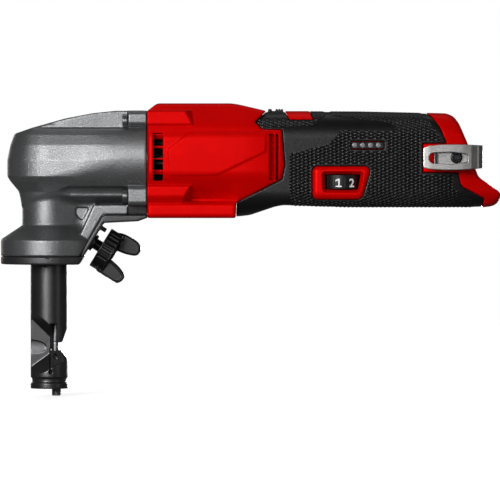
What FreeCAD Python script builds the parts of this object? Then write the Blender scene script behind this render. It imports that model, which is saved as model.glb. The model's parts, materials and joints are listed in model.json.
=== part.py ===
import FreeCAD, Part
import math
import os
import re
import Sketcher

# Cordless nibbler: a right-angle punch-and-die sheet cutter with a slide-in battery socket.
# Millimetres. +X runs along the motor towards the battery socket, +Z is up.
# The origin is on the die holder's axis, level with the underside of the head's base cover.

os.makedirs("parts", exist_ok=True)
doc = FreeCAD.newDocument("nibbler")

# ---------------------------------------------------------------- driving dimensions

DIMS = {
    # axes and travel
    "motor_axis_z": 55.2,
    "crank_axis_z": 45.0,
    "crank_offset": 2.75,
    "slack": 0.25,
    # gear case
    "barrel_radius": 24.5,
    "barrel_bore": 21.3,
    "case_back": 51.1,
    "neck_radius": 14.0,
    "flange_radius": 25.2,
    "cover_thickness": 4.2,
    "rim_top": 12.8,
    "cone_top": 20.2,
    "deck_bottom": 25.8,
    "deck_half_width": 16.0,
    "strut_half_width": 13.0,
    "web_half_width": 6.0,
    "recess_radius": 17.0,
    "recess_top": 16.0,
    "sleeve_radius": 10.0,
    "sleeve_bottom": 20.4,
    "sleeve_top": 30.4,
    "boss_y": 19.0,
    "boss_radius": 5.2,
    "boss_top_z": 74.5,
    "boss_low_z": 35.6,
    "boss_front": 41.2,
    # gears
    "gear_module": 0.5,
    "gear_teeth": 33,
    "pinion_teeth": 8,
    "gear_front": 33.0,
    "gear_width": 8.0,
    # crank, ram and punch
    "crank_pin_radius": 3.0,
    "roller_radius": 5.5,
    "yoke_half_length": 5.9,
    "yoke_half_width": 11.0,
    "yoke_wall": 2.5,
    "ram_radius": 7.0,
    "ram_bottom": 20.0,
    "punch_radius": 5.6,
    "punch_pin_radius": 1.8,
    "punch_pin_x": 3.5,
    # die holder
    "holder_radius": 9.7,
    "holder_neck_radius": 9.2,
    "holder_shank_length": 24.4,
    "holder_lower_radius": 9.5,
    "holder_bottom": 64.7,
    "spine_half_width": 2.3,
    "throat_top": 40.5,
    "throat_bottom": 44.9,
    "die_radius": 2.65,
    "die_screw_radius": 2.5,
    # clamp across the strut
    "clamp_x": 22.6,
    "clamp_z": 11.4,
    "clamp_tilt": 121.5,
    "stud_radius": 3.0,
    "bush_radius": 4.5,
    "stop_pin_radius": 1.15,
    "stop_pin_up": 8.7,
    "knob_radius": 11.25,
    "knob_near": 4.8,
    "knob_far": 12.0,
    # motor housing and grip
    "housing_half_width": 27.0,
    "housing_bottom": 23.7,
    "housing_top": 84.0,
    "housing_corner": 14.0,
    "motor_bay_radius": 22.0,
    "motor_bay_back": 96.0,
    "grip_half_width": 23.2,
    "grip_bottom": 29.4,
    "grip_top": 80.3,
    "grip_corner": 15.0,
    "skin": 2.2,
    "board_bay_front": 110.0,
    "board_bay_back": 166.0,
    "board_bay_half_width": 18.0,
    "board_bay_bottom": 34.0,
    "board_bay_top": 74.0,
    "socket_front": 172.0,
    "socket_half_width": 17.0,
    "socket_bottom": 36.0,
    "socket_top": 74.0,
    "housing_back": 234.7,
    # motor
    "stator_radius": 21.9,
    "stator_bore": 12.5,
    "rotor_radius": 12.0,
    "shaft_radius": 2.5,
    # controls
    "dial_x": 152.05,
    "dial_y": -12.6,
    "dial_radius": 11.0,
    "dial_bottom": 39.1,
    "dial_top": 46.6,
    "slider_front": 113.8,
    "slider_back": 121.6,
    "slider_half_width": 7.0,
    "slider_travel": 3.5,
    "lens_radius": 1.25,
    "lens_z": 61.9,
    "lens_first_x": 158.5,
    "lens_pitch": 4.07,
    # belt clip
    "clip_thickness": 1.2,
    "clip_low_z": 49.0,
    "clip_high_z": 62.4,
    "clip_boss_y": 25.5,
    "clip_leaf_y": 34.7,
    "clip_screw_x": 211.0,
    "clip_screw_z": 55.6,
}

sheet = doc.addObject("Spreadsheet::Sheet", "Dims")
for row, (alias, size) in enumerate(DIMS.items(), start=1):
    sheet.set(f"A{row}", alias)
    sheet.set(f"B{row}", str(size))
    sheet.setAlias(f"B{row}", alias)
doc.recompute()


def bound(expression):
    """Names of driving dimensions in the text become references to the sheet."""
    return re.sub(r"[a-z_]+", lambda m: "Dims." + m[0] if m[0] in DIMS else m[0], str(expression))


def value(expression):
    """The number that an expression of driving dimensions stands for now."""
    return float(sheet.evalExpression(bound(expression)))


# ---------------------------------------------------------------- building blocks

TURNS = {
    "X": FreeCAD.Rotation(FreeCAD.Vector(0, 1, 0), 90),
    "Y": FreeCAD.Rotation(FreeCAD.Vector(1, 0, 0), -90),
    "-Y": FreeCAD.Rotation(FreeCAD.Vector(1, 0, 0), 90),
    "Z": FreeCAD.Rotation(),
    "clamp": FreeCAD.Rotation(FreeCAD.Vector(0, 1, 0), DIMS["clamp_tilt"]),
}
sub_parts = {}
names = {}


def fresh(stem):
    """A document name that hasn't been used yet."""
    names[stem] = names.get(stem, 0) + 1
    return f"{stem}_{names[stem]}"


def place(obj, at, along="Z"):
    obj.Placement = FreeCAD.Placement(FreeCAD.Vector(), TURNS[along])
    for axis, expression in zip("xyz", at):
        obj.setExpression(f"Placement.Base.{axis}", bound(expression))
    return obj


def box(low, high):
    """A block from its lowest to its highest corner."""
    obj = doc.addObject("Part::Box", fresh("box"))
    for side, a, b in zip(("Length", "Width", "Height"), low, high):
        obj.setExpression(side, bound(f"({b}) - ({a})"))
    return place(obj, low)


def cylinder(radius, at, length, along="Z"):
    obj = doc.addObject("Part::Cylinder", fresh("cylinder"))
    obj.setExpression("Radius", bound(radius))
    obj.setExpression("Height", bound(length))
    return place(obj, at, along)


def constrain_outline(sketch, points):
    """Straight edges through the points, each point held by its two distances from the origin."""
    rough = [FreeCAD.Vector(value(u), value(v), 0) for u, v in points]
    count = len(points)
    for i in range(count):
        sketch.addGeometry(Part.LineSegment(rough[i], rough[(i + 1) % count]), False)
    for i in range(count):
        sketch.addConstraint(Sketcher.Constraint("Coincident", i, 2, (i + 1) % count, 1))
    for i, point in enumerate(points):
        for kind, expression in zip(("DistanceX", "DistanceY"), point):
            index = sketch.addConstraint(Sketcher.Constraint(kind, -1, 1, i, 1, value(expression)))
            sketch.setExpression(f"Constraints[{index}]", bound(expression))


def plate(points, y_low, y_high, along="Z", at=(0, 0, 0)):
    """An outline in the XZ plane, thickened along Y from y_low to y_high."""
    sketch = doc.addObject("Sketcher::SketchObject", fresh("outline"))
    sketch.Placement = FreeCAD.Placement(
        FreeCAD.Vector(), FreeCAD.Rotation(FreeCAD.Vector(1, 0, 0), 90))
    constrain_outline(sketch, points)
    solid = doc.addObject("Part::Extrusion", fresh("plate"))
    solid.Base = sketch
    solid.DirMode = "Custom"
    solid.Dir = FreeCAD.Vector(0, 1, 0)
    solid.setExpression("LengthFwd", bound(y_high))
    solid.setExpression("LengthRev", bound(f"-({y_low})"))
    solid.Solid = True
    return place(solid, at, along)


def plan_plate(points, z_low, z_high):
    """An outline in the XY plane, thickened along Z from z_low to z_high."""
    sketch = doc.addObject("Sketcher::SketchObject", fresh("plan"))
    constrain_outline(sketch, points)
    solid = doc.addObject("Part::Extrusion", fresh("slab"))
    solid.Base = sketch
    solid.DirMode = "Custom"
    solid.Dir = FreeCAD.Vector(0, 0, 1)
    solid.setExpression("LengthFwd", bound(z_high))
    solid.setExpression("LengthRev", bound(f"-({z_low})"))
    solid.Solid = True
    return solid


def turned(profile, at=(0, 0, 0), along="Z"):
    """A lathe-turned body: the profile's points are (radius, height) about the given axis."""
    body = doc.addObject("PartDesign::Body", fresh("turned"))
    sketch = body.newObject("Sketcher::SketchObject", fresh("profile"))
    plane = next(f for f in body.Origin.OriginFeatures if f.Role == "XZ_Plane")
    sketch.AttachmentSupport = [(plane, "")]
    sketch.MapMode = "FlatFace"
    constrain_outline(sketch, profile)
    turn = body.newObject("PartDesign::Revolution", fresh("revolve"))
    turn.Profile = sketch
    turn.ReferenceAxis = (sketch, ["V_Axis"])
    turn.Angle = 360
    return place(body, at, along)


def ring(outer, inner, low, high, at=(0, 0, 0), along="Z"):
    """A plain bush or washer, turned about the given axis."""
    return turned([(inner, low), (outer, low), (outer, high), (inner, high)], at, along)


def fuse(*shapes):
    obj = doc.addObject("Part::MultiFuse", fresh("fuse"))
    obj.Shapes = list(shapes)
    return obj


def common(*shapes):
    obj = doc.addObject("Part::MultiCommon", fresh("common"))
    obj.Shapes = list(shapes)
    return obj


def cut(base, *tools):
    """Take the tools away from the base one after the other."""
    for tool in tools:
        obj = doc.addObject("Part::Cut", fresh("cut"))
        obj.Base = base
        obj.Tool = tool
        base = obj
    return base


def group(*shapes):
    """Separate solids that are kept together, such as a set of screws."""
    obj = doc.addObject("Part::Compound", fresh("group"))
    obj.Links = list(shapes)
    return obj


def rounded_bar(low, high, radius):
    """A bar along X whose four long edges are rounded."""
    blank = box(low, high)
    doc.recompute()
    obj = doc.addObject("Part::Fillet", fresh("rounded"))
    obj.Base = blank
    size = value(radius)
    obj.Edges = [(i, size, size) for i, edge in enumerate(blank.Shape.Edges, start=1)
                 if abs(edge.tangentAt(edge.FirstParameter).x) > 0.9]
    return obj


def keep(label, obj):
    """Name a finished sub-part; the label is also its file's name."""
    obj.Label = label
    sub_parts[label] = obj
    return obj


CLAMP_OUT = TURNS["clamp"].multVec(FreeCAD.Vector(0, 0, 1))
CLAMP_UP = TURNS["clamp"].multVec(FreeCAD.Vector(-1, 0, 0))
CLAMP_FRAME = {"at": ("clamp_x", 0, "clamp_z"), "along": "clamp"}


def on_clamp(height, up=0):
    """A point the given distance out of the strut's face, and up along the face from the clamp."""
    x = height * CLAMP_OUT.x + up * CLAMP_UP.x
    z = height * CLAMP_OUT.z + up * CLAMP_UP.z
    return (f"clamp_x + {x:.4f}", 0, f"clamp_z + {z:.4f}")


# ---------------------------------------------------------------- gear case and base cover

BARREL_SIDE = [
    ("case_back", 79.7), (34.7, 79.7), (22.7, 78.4), (8.9, 75.8), (-8.3, 71.0), (-18.3, 67.6),
    (-20.4, 62.0), (-22.0, 54.2), (-22.0, 45.6), (-20.4, 43.0), (-16.1, 37.9), (-14.4, 31.8),
    (-14.0, 28.0), ("case_back", 28.0),
]
BARREL_PLAN = [
    ("case_back", -25), ("case_back", 25), (-4, 25), (-13, 21), (-19.3, 13.5), (-22, 5.5),
    (-22, -5.5), (-19.3, -13.5), (-13, -21), (-4, -25),
]
CAVITY_SIDE = [
    ("case_back", 78), (41.6, 78), (41.6, 68), (-10, 68), (-15.5, 64.5), (-18.4, 54), (-18.4, 46.5),
    (-13.2, 40), (-13.2, 33), ("case_back", 33),
]
CAVITY_PLAN = [
    ("case_back", -22), ("case_back", 22), (-4, 21.8), (-11, 18.5), (-16.2, 12.5), (-18.4, 5),
    (-18.4, -5), (-16.2, -12.5), (-11, -18.5), (-4, -21.8),
]
# the joint between gear case and base cover, seen from the side
PARTING = [(15.8, "cover_thickness"), (27.8, 25.0), (29.5, "deck_bottom")]
COVER_FACE = [(15.8, 0.0), (15.8, 0.4), (28.7, 21.5), (46.4, 22.4), ("case_back", 24.1)]
COVER_SCREWS_AT = [(-21.1, 0.0), (0.0, 21.1), (0.0, -21.1), (40.0, 11.0), (40.0, -11.0)]
COVER_SCREW_BASE_Z = [0.0, 0.0, 0.0, 22.1, 22.1]


def along_motor(radius, front, back, z="motor_axis_z", y=0):
    """A round bar along X between two stations."""
    return cylinder(radius, (front, y, z), f"({back}) - ({front})", "X")


def barrel_form():
    return common(
        along_motor("barrel_radius", -22.5, "case_back"),
        plate(BARREL_SIDE, -25.5, 25.5),
        plan_plate(BARREL_PLAN, 27, 81),
    )


def head_neck_form():
    """Flange rim, cone and neck, turned about the die holder's axis."""
    return turned([
        (0, "cover_thickness"), ("flange_radius", "cover_thickness"), ("flange_radius", "rim_top"),
        ("neck_radius", "cone_top"), ("neck_radius", 36), (0, 36),
    ])


def case_screw_positions():
    return [(y, z) for z in ("boss_top_z", "boss_low_z") for y in ("boss_y", "-boss_y")]


def make_gear_case():
    strut = [(16.7, 16.3), (23.5, 31.0), (34, 31.0), (29.5, "deck_bottom"), (27.8, 25.0),
             (15.8, "cover_thickness"), (12, "cover_thickness"), (12, 16.3)]
    web = [(8, 31.5), (24, 31.5), (17, 16.3), (8, 16.3)]
    solid = fuse(
        barrel_form(),
        head_neck_form(),
        plate(strut, "-strut_half_width", "strut_half_width"),
        plate(web, "-web_half_width", "web_half_width"),
        box((23.5, "-deck_half_width", "deck_bottom"), ("case_back", "deck_half_width", 32)),
        *[along_motor("boss_radius", "boss_front", "case_back", z, y)
          for y, z in case_screw_positions()],
    )
    beyond_parting = [(15.8, 0), *PARTING, (60, "deck_bottom"), (60, 0)]
    shelves = group(box((-12, 13, 70.7), ("boss_front", 26, 84)),
                    box((-12, -26, 70.7), ("boss_front", -13, 84)))
    grooves = group(*[along_motor(4, 1, "boss_front", 36, y) for y in ("boss_y", "-boss_y")])
    cavity = common(
        along_motor("barrel_bore", -19, "case_back + 1"),
        plate(CAVITY_SIDE, -23, 23),
        plan_plate(CAVITY_PLAN, 30, 79),
    )
    yoke_pocket = box(("-yoke_half_length - 0.5", "-yoke_half_width - 0.6", 30.6),
                      ("yoke_half_length + 0.5", "yoke_half_width + 0.6", 39))
    bores = [
        cylinder("recess_radius", (0, 0, 0), "recess_top"),
        cylinder(8, (0, 0, 15), 6),
        cylinder("sleeve_radius", (0, 0, "sleeve_bottom"), "sleeve_top - sleeve_bottom"),
        cylinder("ram_radius + 0.4", (0, 0, 30), 6),
        cylinder("bush_radius", on_clamp(-5), 8, "clamp"),
        cylinder("stud_radius + 0.1", on_clamp(-9), 5, "clamp"),
    ]
    screw_holes = group(*[along_motor(2.05, 40, 52, z, y) for y, z in case_screw_positions()])
    cover_holes = group(*[cylinder(1.65, (x, y, z), 12)
                          for (x, y), z in zip(COVER_SCREWS_AT, COVER_SCREW_BASE_Z)])
    keep("gear_case", cut(
        solid, plate(beyond_parting, -30, 30), shelves, grooves, cavity, yoke_pocket,
        *bores, screw_holes, cover_holes))


def make_base_cover():
    disc = cylinder("flange_radius", (0, 0, 0), "cover_thickness")
    band = [(12, "cover_thickness"), *PARTING, ("case_back", "deck_bottom"),
            *reversed(COVER_FACE[1:]), (12, 0.4)]
    arm = plate(band, "-deck_half_width", "deck_half_width")
    below_face = [(15.5, -1), *COVER_FACE[1:], (60, 24.1), (60, -1)]
    seats = group(*[cylinder(3.0, (x, y, f"{z} - 0.1"), 2)
                    for (x, y), z in zip(COVER_SCREWS_AT, COVER_SCREW_BASE_Z)])
    holes = group(*[cylinder(1.7, (x, y, f"{z} - 1"), 8)
                    for (x, y), z in zip(COVER_SCREWS_AT, COVER_SCREW_BASE_Z)])
    keep("base_cover", cut(
        fuse(disc, arm),
        plate(below_face, -30, 30),
        cylinder("holder_neck_radius + 0.08", (0, 0, -1), 7),
        cylinder(10.0, (0, 0, -1), 1.3),
        cylinder("recess_radius", (0, 0, "cover_thickness"), 12),
        cylinder("bush_radius", on_clamp(-6), 7, "clamp"),
        cylinder("stop_pin_radius", on_clamp(-2, DIMS["stop_pin_up"]), 4, "clamp"),
        holes, seats))


def screw(head_radius, head_height, radius, length, at, along):
    """A pan-head screw: `at` is the top of its head and it points along the axis."""
    return turned([
        (0, 0), (head_radius, 0), (head_radius, head_height), (radius, head_height),
        (radius, f"({head_height}) + ({length})"), (0, f"({head_height}) + ({length})"),
    ], at, along)


def make_head_fasteners():
    keep("gear_case_screws", group(*[
        screw(3.45, 3.0, 2.0, 20, ("boss_front - 3", y, z), "X") for y, z in case_screw_positions()]))
    keep("base_cover_screws", group(*[
        screw(2.8, 1.7, 1.6, 8, (x, y, z + 0.2), "Z")
        for (x, y), z in zip(COVER_SCREWS_AT, COVER_SCREW_BASE_Z)]))
    keep("stop_pin", cylinder("stop_pin_radius", on_clamp(-2, DIMS["stop_pin_up"]), 4.9, "clamp"))


# ---------------------------------------------------------------- drive train

def tooth_profile(teeth, module, addendum, dedendum, turn):
    """A spur gear's outline with straight-flanked teeth and generous backlash."""
    pitch = teeth * module / 2
    step = 2 * math.pi / teeth
    stations = [(pitch - dedendum, 0.30), (pitch, 0.20), (pitch + addendum, 0.10)]
    points = []
    for i in range(teeth):
        middle = turn + i * step
        sides = [(radius, middle - half * step) for radius, half in stations]
        sides += [(radius, middle + half * step) for radius, half in reversed(stations)]
        points += [FreeCAD.Vector(r * math.cos(a), r * math.sin(a), 0) for r, a in sides]
    return Part.Face(Part.makePolygon(points + points[:1]))


def gear_solid(teeth, addendum, dedendum, turn, width):
    face = tooth_profile(teeth, DIMS["gear_module"], addendum, dedendum, turn)
    return face.extrude(FreeCAD.Vector(0, 0, width))


def gear_feature(teeth, turn, bore, width):
    """A gear as a solid of its own, its axis along +Z until it is placed."""
    module = DIMS["gear_module"]
    obj = doc.addObject("Part::Feature", fresh("gear"))
    solid = gear_solid(teeth, 0.6 * module, 1.0 * module, turn, width)
    obj.Shape = solid.cut(Part.makeCylinder(bore, width)) if bore else solid
    return obj


def make_crank():
    axis = {"at": (0, 0, "crank_axis_z"), "along": "X"}
    shaft = turned([
        (0, 7.5), (8.5, 7.5), (8.5, 11.5), (5, 11.5), (5, 32.8), (4, 32.8), (4, 42.2),
        (3, 42.2), (3, 46.3), (0, 46.3),
    ], **axis)
    pin = along_motor("crank_pin_radius", -5.4, 8, "crank_axis_z", "-crank_offset")
    keep("crankshaft", fuse(shaft, pin))
    keep("eccentric_roller", ring("roller_radius", "crank_pin_radius + 0.02", -5.3, 5.7,
                                  (0, "-crank_offset", "crank_axis_z"), "X"))
    # a tooth of the gear points straight up, into a gap of the pinion
    wheel = gear_feature(int(DIMS["gear_teeth"]), math.pi, 4.0, DIMS["gear_width"])
    keep("drive_gear", place(wheel, ("gear_front", 0, "crank_axis_z"), "X"))


def make_rotor():
    teeth = int(DIMS["pinion_teeth"])
    pinion = gear_feature(teeth, math.pi / teeth, 0, DIMS["gear_width"] + 2)
    place(pinion, ("gear_front - 1", 0, "motor_axis_z"), "X")
    shaft = turned([(0, 41.5), ("shaft_radius", 41.5), ("shaft_radius", 101.8), (0, 101.8)],
                   (0, 0, "motor_axis_z"), "X")
    keep("rotor_shaft", fuse(pinion, shaft))
    axis = {"at": (0, 0, "motor_axis_z"), "along": "X"}
    keep("rotor_core", ring("rotor_radius", "shaft_radius", 64, 88, **axis))
    hub = ring(6, "shaft_radius", 54.2, 60.5, **axis)
    backplate = ring(18.5, 5.5, 59.3, 60.5, **axis)
    blade = box((54.6, -0.6, "motor_axis_z + 5.5"), (59.8, 0.6, "motor_axis_z + 18.3"))
    doc.recompute()
    blades = []
    for i in range(11):
        copy = doc.addObject("Part::Feature", fresh("blade"))
        shape = blade.Shape.copy()
        shape.rotate(FreeCAD.Vector(0, 0, DIMS["motor_axis_z"]), FreeCAD.Vector(1, 0, 0), i * 360 / 11)
        copy.Shape = shape
        blades.append(copy)
    keep("cooling_fan", fuse(hub, backplate, *blades))


def make_bearings():
    motor = {"at": (0, 0, "motor_axis_z"), "along": "X"}
    crank = {"at": (0, 0, "crank_axis_z"), "along": "X"}
    keep("crank_front_bearing", ring(9.5, 5.02, 13.5, 18.5, **crank))
    keep("crank_rear_bearing", ring(6.5, 3.02, 42.6, 46.2, **crank))
    keep("rotor_front_bearing", ring(8, "shaft_radius + 0.02", 48.2, 52.9, **motor))
    keep("rotor_rear_bearing", ring(8, "shaft_radius + 0.02", 97, 101.9, **motor))
    keep("crank_carrier", cut(
        common(along_motor("barrel_bore - 0.1", 12.2, 20), box((12, -22, 30), (21, 22, 67.9))),
        along_motor(6.5, 12, 21, "crank_axis_z"),
        along_motor(9.5, 12, 18.5, "crank_axis_z")))
    keep("gear_plate", cut(
        along_motor("barrel_bore - 0.1", 42.5, 53),
        along_motor(6.5, 42, 46.4, "crank_axis_z"),
        along_motor(3.3, 42, 54),
        along_motor(8, 48.1, 54)))
    keep("ram_sleeve", ring("sleeve_radius", "ram_radius + 0.05", "sleeve_bottom", "sleeve_top"))


def make_ram():
    yoke_slot = "roller_radius + crank_offset + slack"
    yoke_bottom = f"crank_axis_z - ({yoke_slot}) - yoke_wall"
    yoke_top = f"crank_axis_z + ({yoke_slot}) + yoke_wall + 0.5"
    yoke = box(("-yoke_half_length", "-yoke_half_width", yoke_bottom),
               ("yoke_half_length", "yoke_half_width", yoke_top))
    slot = box((-7, f"-({yoke_slot})", f"crank_axis_z - ({yoke_slot})"),
               (7, yoke_slot, f"crank_axis_z + ({yoke_slot})"))
    stem = cylinder("ram_radius", (0, 0, "ram_bottom"), 14.3)
    head_room = cylinder(5.5, (0, 0, "ram_bottom - 1"), 7.5)
    keep("ram", cut(fuse(yoke, stem), slot, head_room))
    keep("punch_retainer", ring(5.5, 3.2, "ram_bottom", "ram_bottom + 3"))


def make_punch():
    body = turned([
        (0, -26.5), ("punch_radius", -26.5), ("punch_radius", 14.5), (3, 14.5), (3, 23.1),
        (5.2, 23.1), (5.2, 26.3), (0, 26.3),
    ])
    pin = cylinder("punch_pin_radius", ("punch_pin_x", 0, -47.5), 21.5)
    keep("punch", fuse(body, pin))


def make_die_holder():
    """Turned blank with a cone for the clamp on top, milled to a thin spine beside the throat."""
    neck, lower = "holder_neck_radius", "holder_lower_radius"
    shank_end = "-holder_shank_length"
    blank = turned([
        (0, 15.8), (16.7, 15.8), (16.7, 15.4), (12, 7.7), (12, 4.4), (neck, 4.4), (neck, 0),
        ("holder_radius", 0), ("holder_radius", shank_end), (lower, shank_end), (lower, -58.8),
        (8.9, -59.3), (8.9, -61.4), (lower, -61.7), (lower, "-holder_bottom"),
        (0, "-holder_bottom"),
    ])
    flank = [(-11, -25.5), (0.65, -34.5), (0.65, -50.3), (-11, -57.5)]
    flanks = [plate(flank, "spine_half_width", 11), plate(flank, -11, "-spine_half_width")]
    throat = box((0.65, -11, "-throat_bottom"), (11, 11, "-throat_top"))
    window = box((0.65, -11, "-throat_top - 0.1"), (4.0, 11, -30.7))
    upper_chamfer = plate([(6.7, -40.6), (9.9, -31.8), (11, -31.8), (11, -40.6)], -11, 11)
    lower_chamfer = plate([(6.2, -44.7), (9.9, -49.6), (11, -49.6), (11, -44.7)], -11, 11)
    slit = box((0.4, -11, -55.9), (0.9, 11, "-throat_bottom + 0.1"))
    keep("die_holder", cut(
        blank, *flanks, throat, window, upper_chamfer, lower_chamfer, slit,
        cylinder(0.6, (0.65, -11, -56), 22, "Y"),
        cylinder("punch_radius + 0.08", (0, 0, -29.6), 46),
        cylinder("punch_pin_radius + 0.1", ("punch_pin_x", 0, -46), 17),
        cylinder("die_radius", ("punch_pin_x + 0.05", 0, -52.5), 9),
        cylinder("die_screw_radius + 0.05", (3.7, 0, -65), 13)))
    keep("die_insert", cut(
        cylinder("die_radius - 0.02", ("punch_pin_x + 0.05", 0, -52.4), 7.5),
        cylinder("punch_pin_radius + 0.05", ("punch_pin_x", 0, -51), 9)))
    keep("die_screw", turned([
        (0, -68.5), (2.1, -68.5), ("die_screw_radius", -68.1), ("die_screw_radius", -53),
        (0, -53),
    ], (3.7, 0, 0)))


def make_clamp():
    frame = CLAMP_FRAME
    keep("clamp_bush", ring("bush_radius", "stud_radius + 0.05", -5, 1.5, **frame))
    keep("clamp_shoe", cylinder("stud_radius - 0.1", on_clamp(-7), 2, "clamp"))
    keep("clamp_stud", cylinder("stud_radius", on_clamp(-4.9), 16.1, "clamp"))
    collar = turned([
        ("stud_radius", "knob_near"), ("knob_radius", "knob_near"),
        ("knob_radius", "knob_far"), (0, "knob_far"), (0, 11.2), ("stud_radius", 11.2)], **frame)
    wing = [(2.4, 11.9), (10.4, 11.9), (11.3, 21.0), (10.4, 22.8), (8.4, 23.5), (6.2, 23.2)]
    mirrored = [(f"-{u}", v) for u, v in wing]
    # one wing on the near side of the axis and one on the far side
    pair = fuse(plate(wing, -6.4, -2.6), plate(mirrored, 2.6, 6.4))
    spun = doc.addObject("Part::Feature", fresh("wings"))
    doc.recompute()
    spun.Shape = pair.Shape.copy()
    place(spun, **frame)
    keep("clamp_knob", fuse(collar, spun))


# ---------------------------------------------------------------- motor housing and grip

MOTOR_SIDE = [
    ("case_back", 23.7), ("case_back", 79.6), (56.6, 84.0), (94.5, 84.0), (113.0, 79.6),
    (106.9, 73.8), (110.8, 70.1), (120.9, 69.8), (122.3, 51.3), (120.9, 44.4), (97.3, 32.2),
    (97.1, 23.7),
]
GRIP_SIDE = [
    (97.1, 23.7), (104.4, 25.0), (110.6, 27.3), (117.4, 29.6), (121.5, 30.4), (154.7, 29.4),
    (230.7, 29.4), ("housing_back - 1", 33), ("housing_back", 38), (229.8, 41.8), (223.0, 45.2),
    (216.9, 63.3), (212.6, 73.2), (210.0, 76.7), (206.5, 78.6), (194.2, 78.9), (160.4, 80.1),
    (137.7, 80.3), (97.1, 80.3),
]
# the rear edge of the rubber, top to bottom
RUBBER_BACK = [(195.3, 82), (195.3, 79.0), (202.7, 71.1), (206.1, 62.9), (212.1, 47.3), (213.4, 41.8),
               (225.7, 34.4), (223.8, 28)]
HOUSING_SCREWS_AT = [(64, 28.3), (92, 28.3), (64, 80.6), (92, 80.6), (169, 36), (169, 75.8)]
SCREW_HEAD_Y = 16


def core_side():
    """The red shell's outline under the rubber: the grip's outline moved in by the skin."""
    low = [(97.1, 26), (104.4, 27.2), (110.6, 29.5), (117.4, 31.8), (121.5, 32.6), (154.7, 31.6),
           (222, 31.6)]
    high = [(214.5, 60), (206, 76.7), (194.2, 76.7), (160.4, 77.9), (137.7, 78.1), (97.1, 78.1)]
    return low + high


def grip_form():
    return common(
        plate(GRIP_SIDE, "-grip_half_width", "grip_half_width"),
        rounded_bar((96, "-grip_half_width", "grip_bottom - 6"),
                    ("housing_back + 1", "grip_half_width", "grip_top"), "grip_corner"))


def core_form():
    return common(
        plate(core_side(), "-grip_half_width + skin", "grip_half_width - skin"),
        rounded_bar((95, "-grip_half_width + skin", "grip_bottom + skin - 6"),
                    ("housing_back + 1", "grip_half_width - skin", "grip_top - skin"),
                    "grip_corner - skin"))


def rubber_zone():
    """Everything between the red motor section and the red rear collar, seen from the side."""
    front = list(reversed(MOTOR_SIDE[4:]))
    return plate([*front, (113.0, 82), *RUBBER_BACK, (97.1, 22)], -30, 30)


def dial_outline():
    return [(138.9, 51.0), (165.4, 51.0), (166.3, 47.6), (161.5, 33.8), (137.8, 33.8), (136.6, 45)]


def gauge_outline():
    return [(156.7, 59.7), (173.9, 59.7), (173.9, 64.0), (156.7, 64.0)]


def badge_outline():
    return [(122.0, 82), (124.7, 75), (137.2, 75), (134.8, 82)]


def slider_well():
    return box(("slider_front - slider_travel - 0.5", "-slider_half_width - 0.5", 76.5),
               ("slider_back + 0.5", "slider_half_width + 0.5", 86))


def housing_screw_holes():
    shanks = group(*[cylinder(1.55, (x, -14.2, z), 32, "Y") for x, z in HOUSING_SCREWS_AT])
    heads = group(*[cylinder(3.0, (x, SCREW_HEAD_Y, z), 14, "Y") for x, z in HOUSING_SCREWS_AT])
    return shanks, heads


def lens_bores(clearance):
    return group(*[
        cylinder(f"lens_radius + {clearance}", (f"lens_first_x + {i} * lens_pitch", -25, "lens_z"), 9, "Y")
        for i in range(4)])


def vents():
    """Rows of slots in both flanks, in front of and behind the motor."""
    slots = []
    for side in (-1, 1):
        near, far = (14, 28) if side > 0 else (-28, -14)
        for i in range(5):
            low = 43.8 + i * 4.95
            slots.append(box((54.4, near, low), (59.7, far, low + 4.1)))
        for x_low, x_high in ((114.1, 116.6), (117.5, 118.6)):
            slots.append(box((x_low, near, 43.8), (x_high, far, 68.0)))
    return group(*slots)


def housing_bays():
    return [
        along_motor("motor_bay_radius", 51, "motor_bay_back"),
        along_motor(8, 96, 102),
        box((95, -12, 60), (111, 12, 72)),
        box(("board_bay_front", "-board_bay_half_width", "board_bay_bottom"),
            ("board_bay_back", "board_bay_half_width", "board_bay_top")),
        box((165, -14, 40), (173, 14, 70)),
        rounded_bar(("socket_front", "-socket_half_width", "socket_bottom"),
                    ("housing_back + 2", "socket_half_width", "socket_top"), 8),
    ]


def make_housing():
    motor_form = common(
        plate(MOTOR_SIDE, "-housing_half_width", "housing_half_width"),
        rounded_bar(("case_back", "-housing_half_width", "housing_bottom"),
                    (130, "housing_half_width", "housing_top"), "housing_corner"))
    collar = cut(grip_form(), plate([(96, 20), (96, 90), *RUBBER_BACK, (223.8, 20)], -30, 30))
    clip_boss = box((193.8, "-clip_boss_y", 47.8), (219.5, -21, 62.7))
    shell = cut(
        fuse(motor_form, core_form(), collar, clip_boss),
        *housing_bays(), vents(), *housing_screw_holes(), slider_well(),
        box(("slider_front - 2", -2.3, 72), (120, 2.3, 78)),
        box(("dial_x - 10.2", -25, 37.6), ("dial_x + 10.2", -17, 47.4)),
        lens_bores(0.1),
        box((155, -19.1, 57), (174.2, -17.5, 66.6)),
        group(*[along_motor(2.05, 51, 62, z, y) for y, z in case_screw_positions()]),
        cylinder(1.95, ("clip_screw_x", -26, "clip_screw_z"), 8, "Y"))
    left = box((50, -40, 20), (240, 0, 90))
    right = box((50, 0, 20), (240, 40, 90))
    keep("motor_housing_left", common(shell, left))
    keep("motor_housing_right", common(shell, right))
    keep("housing_screws", group(*[
        screw(2.75, 2.5, 1.5, 27.5, (x, SCREW_HEAD_Y + 2.5, z), "-Y") for x, z in HOUSING_SCREWS_AT]))


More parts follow.
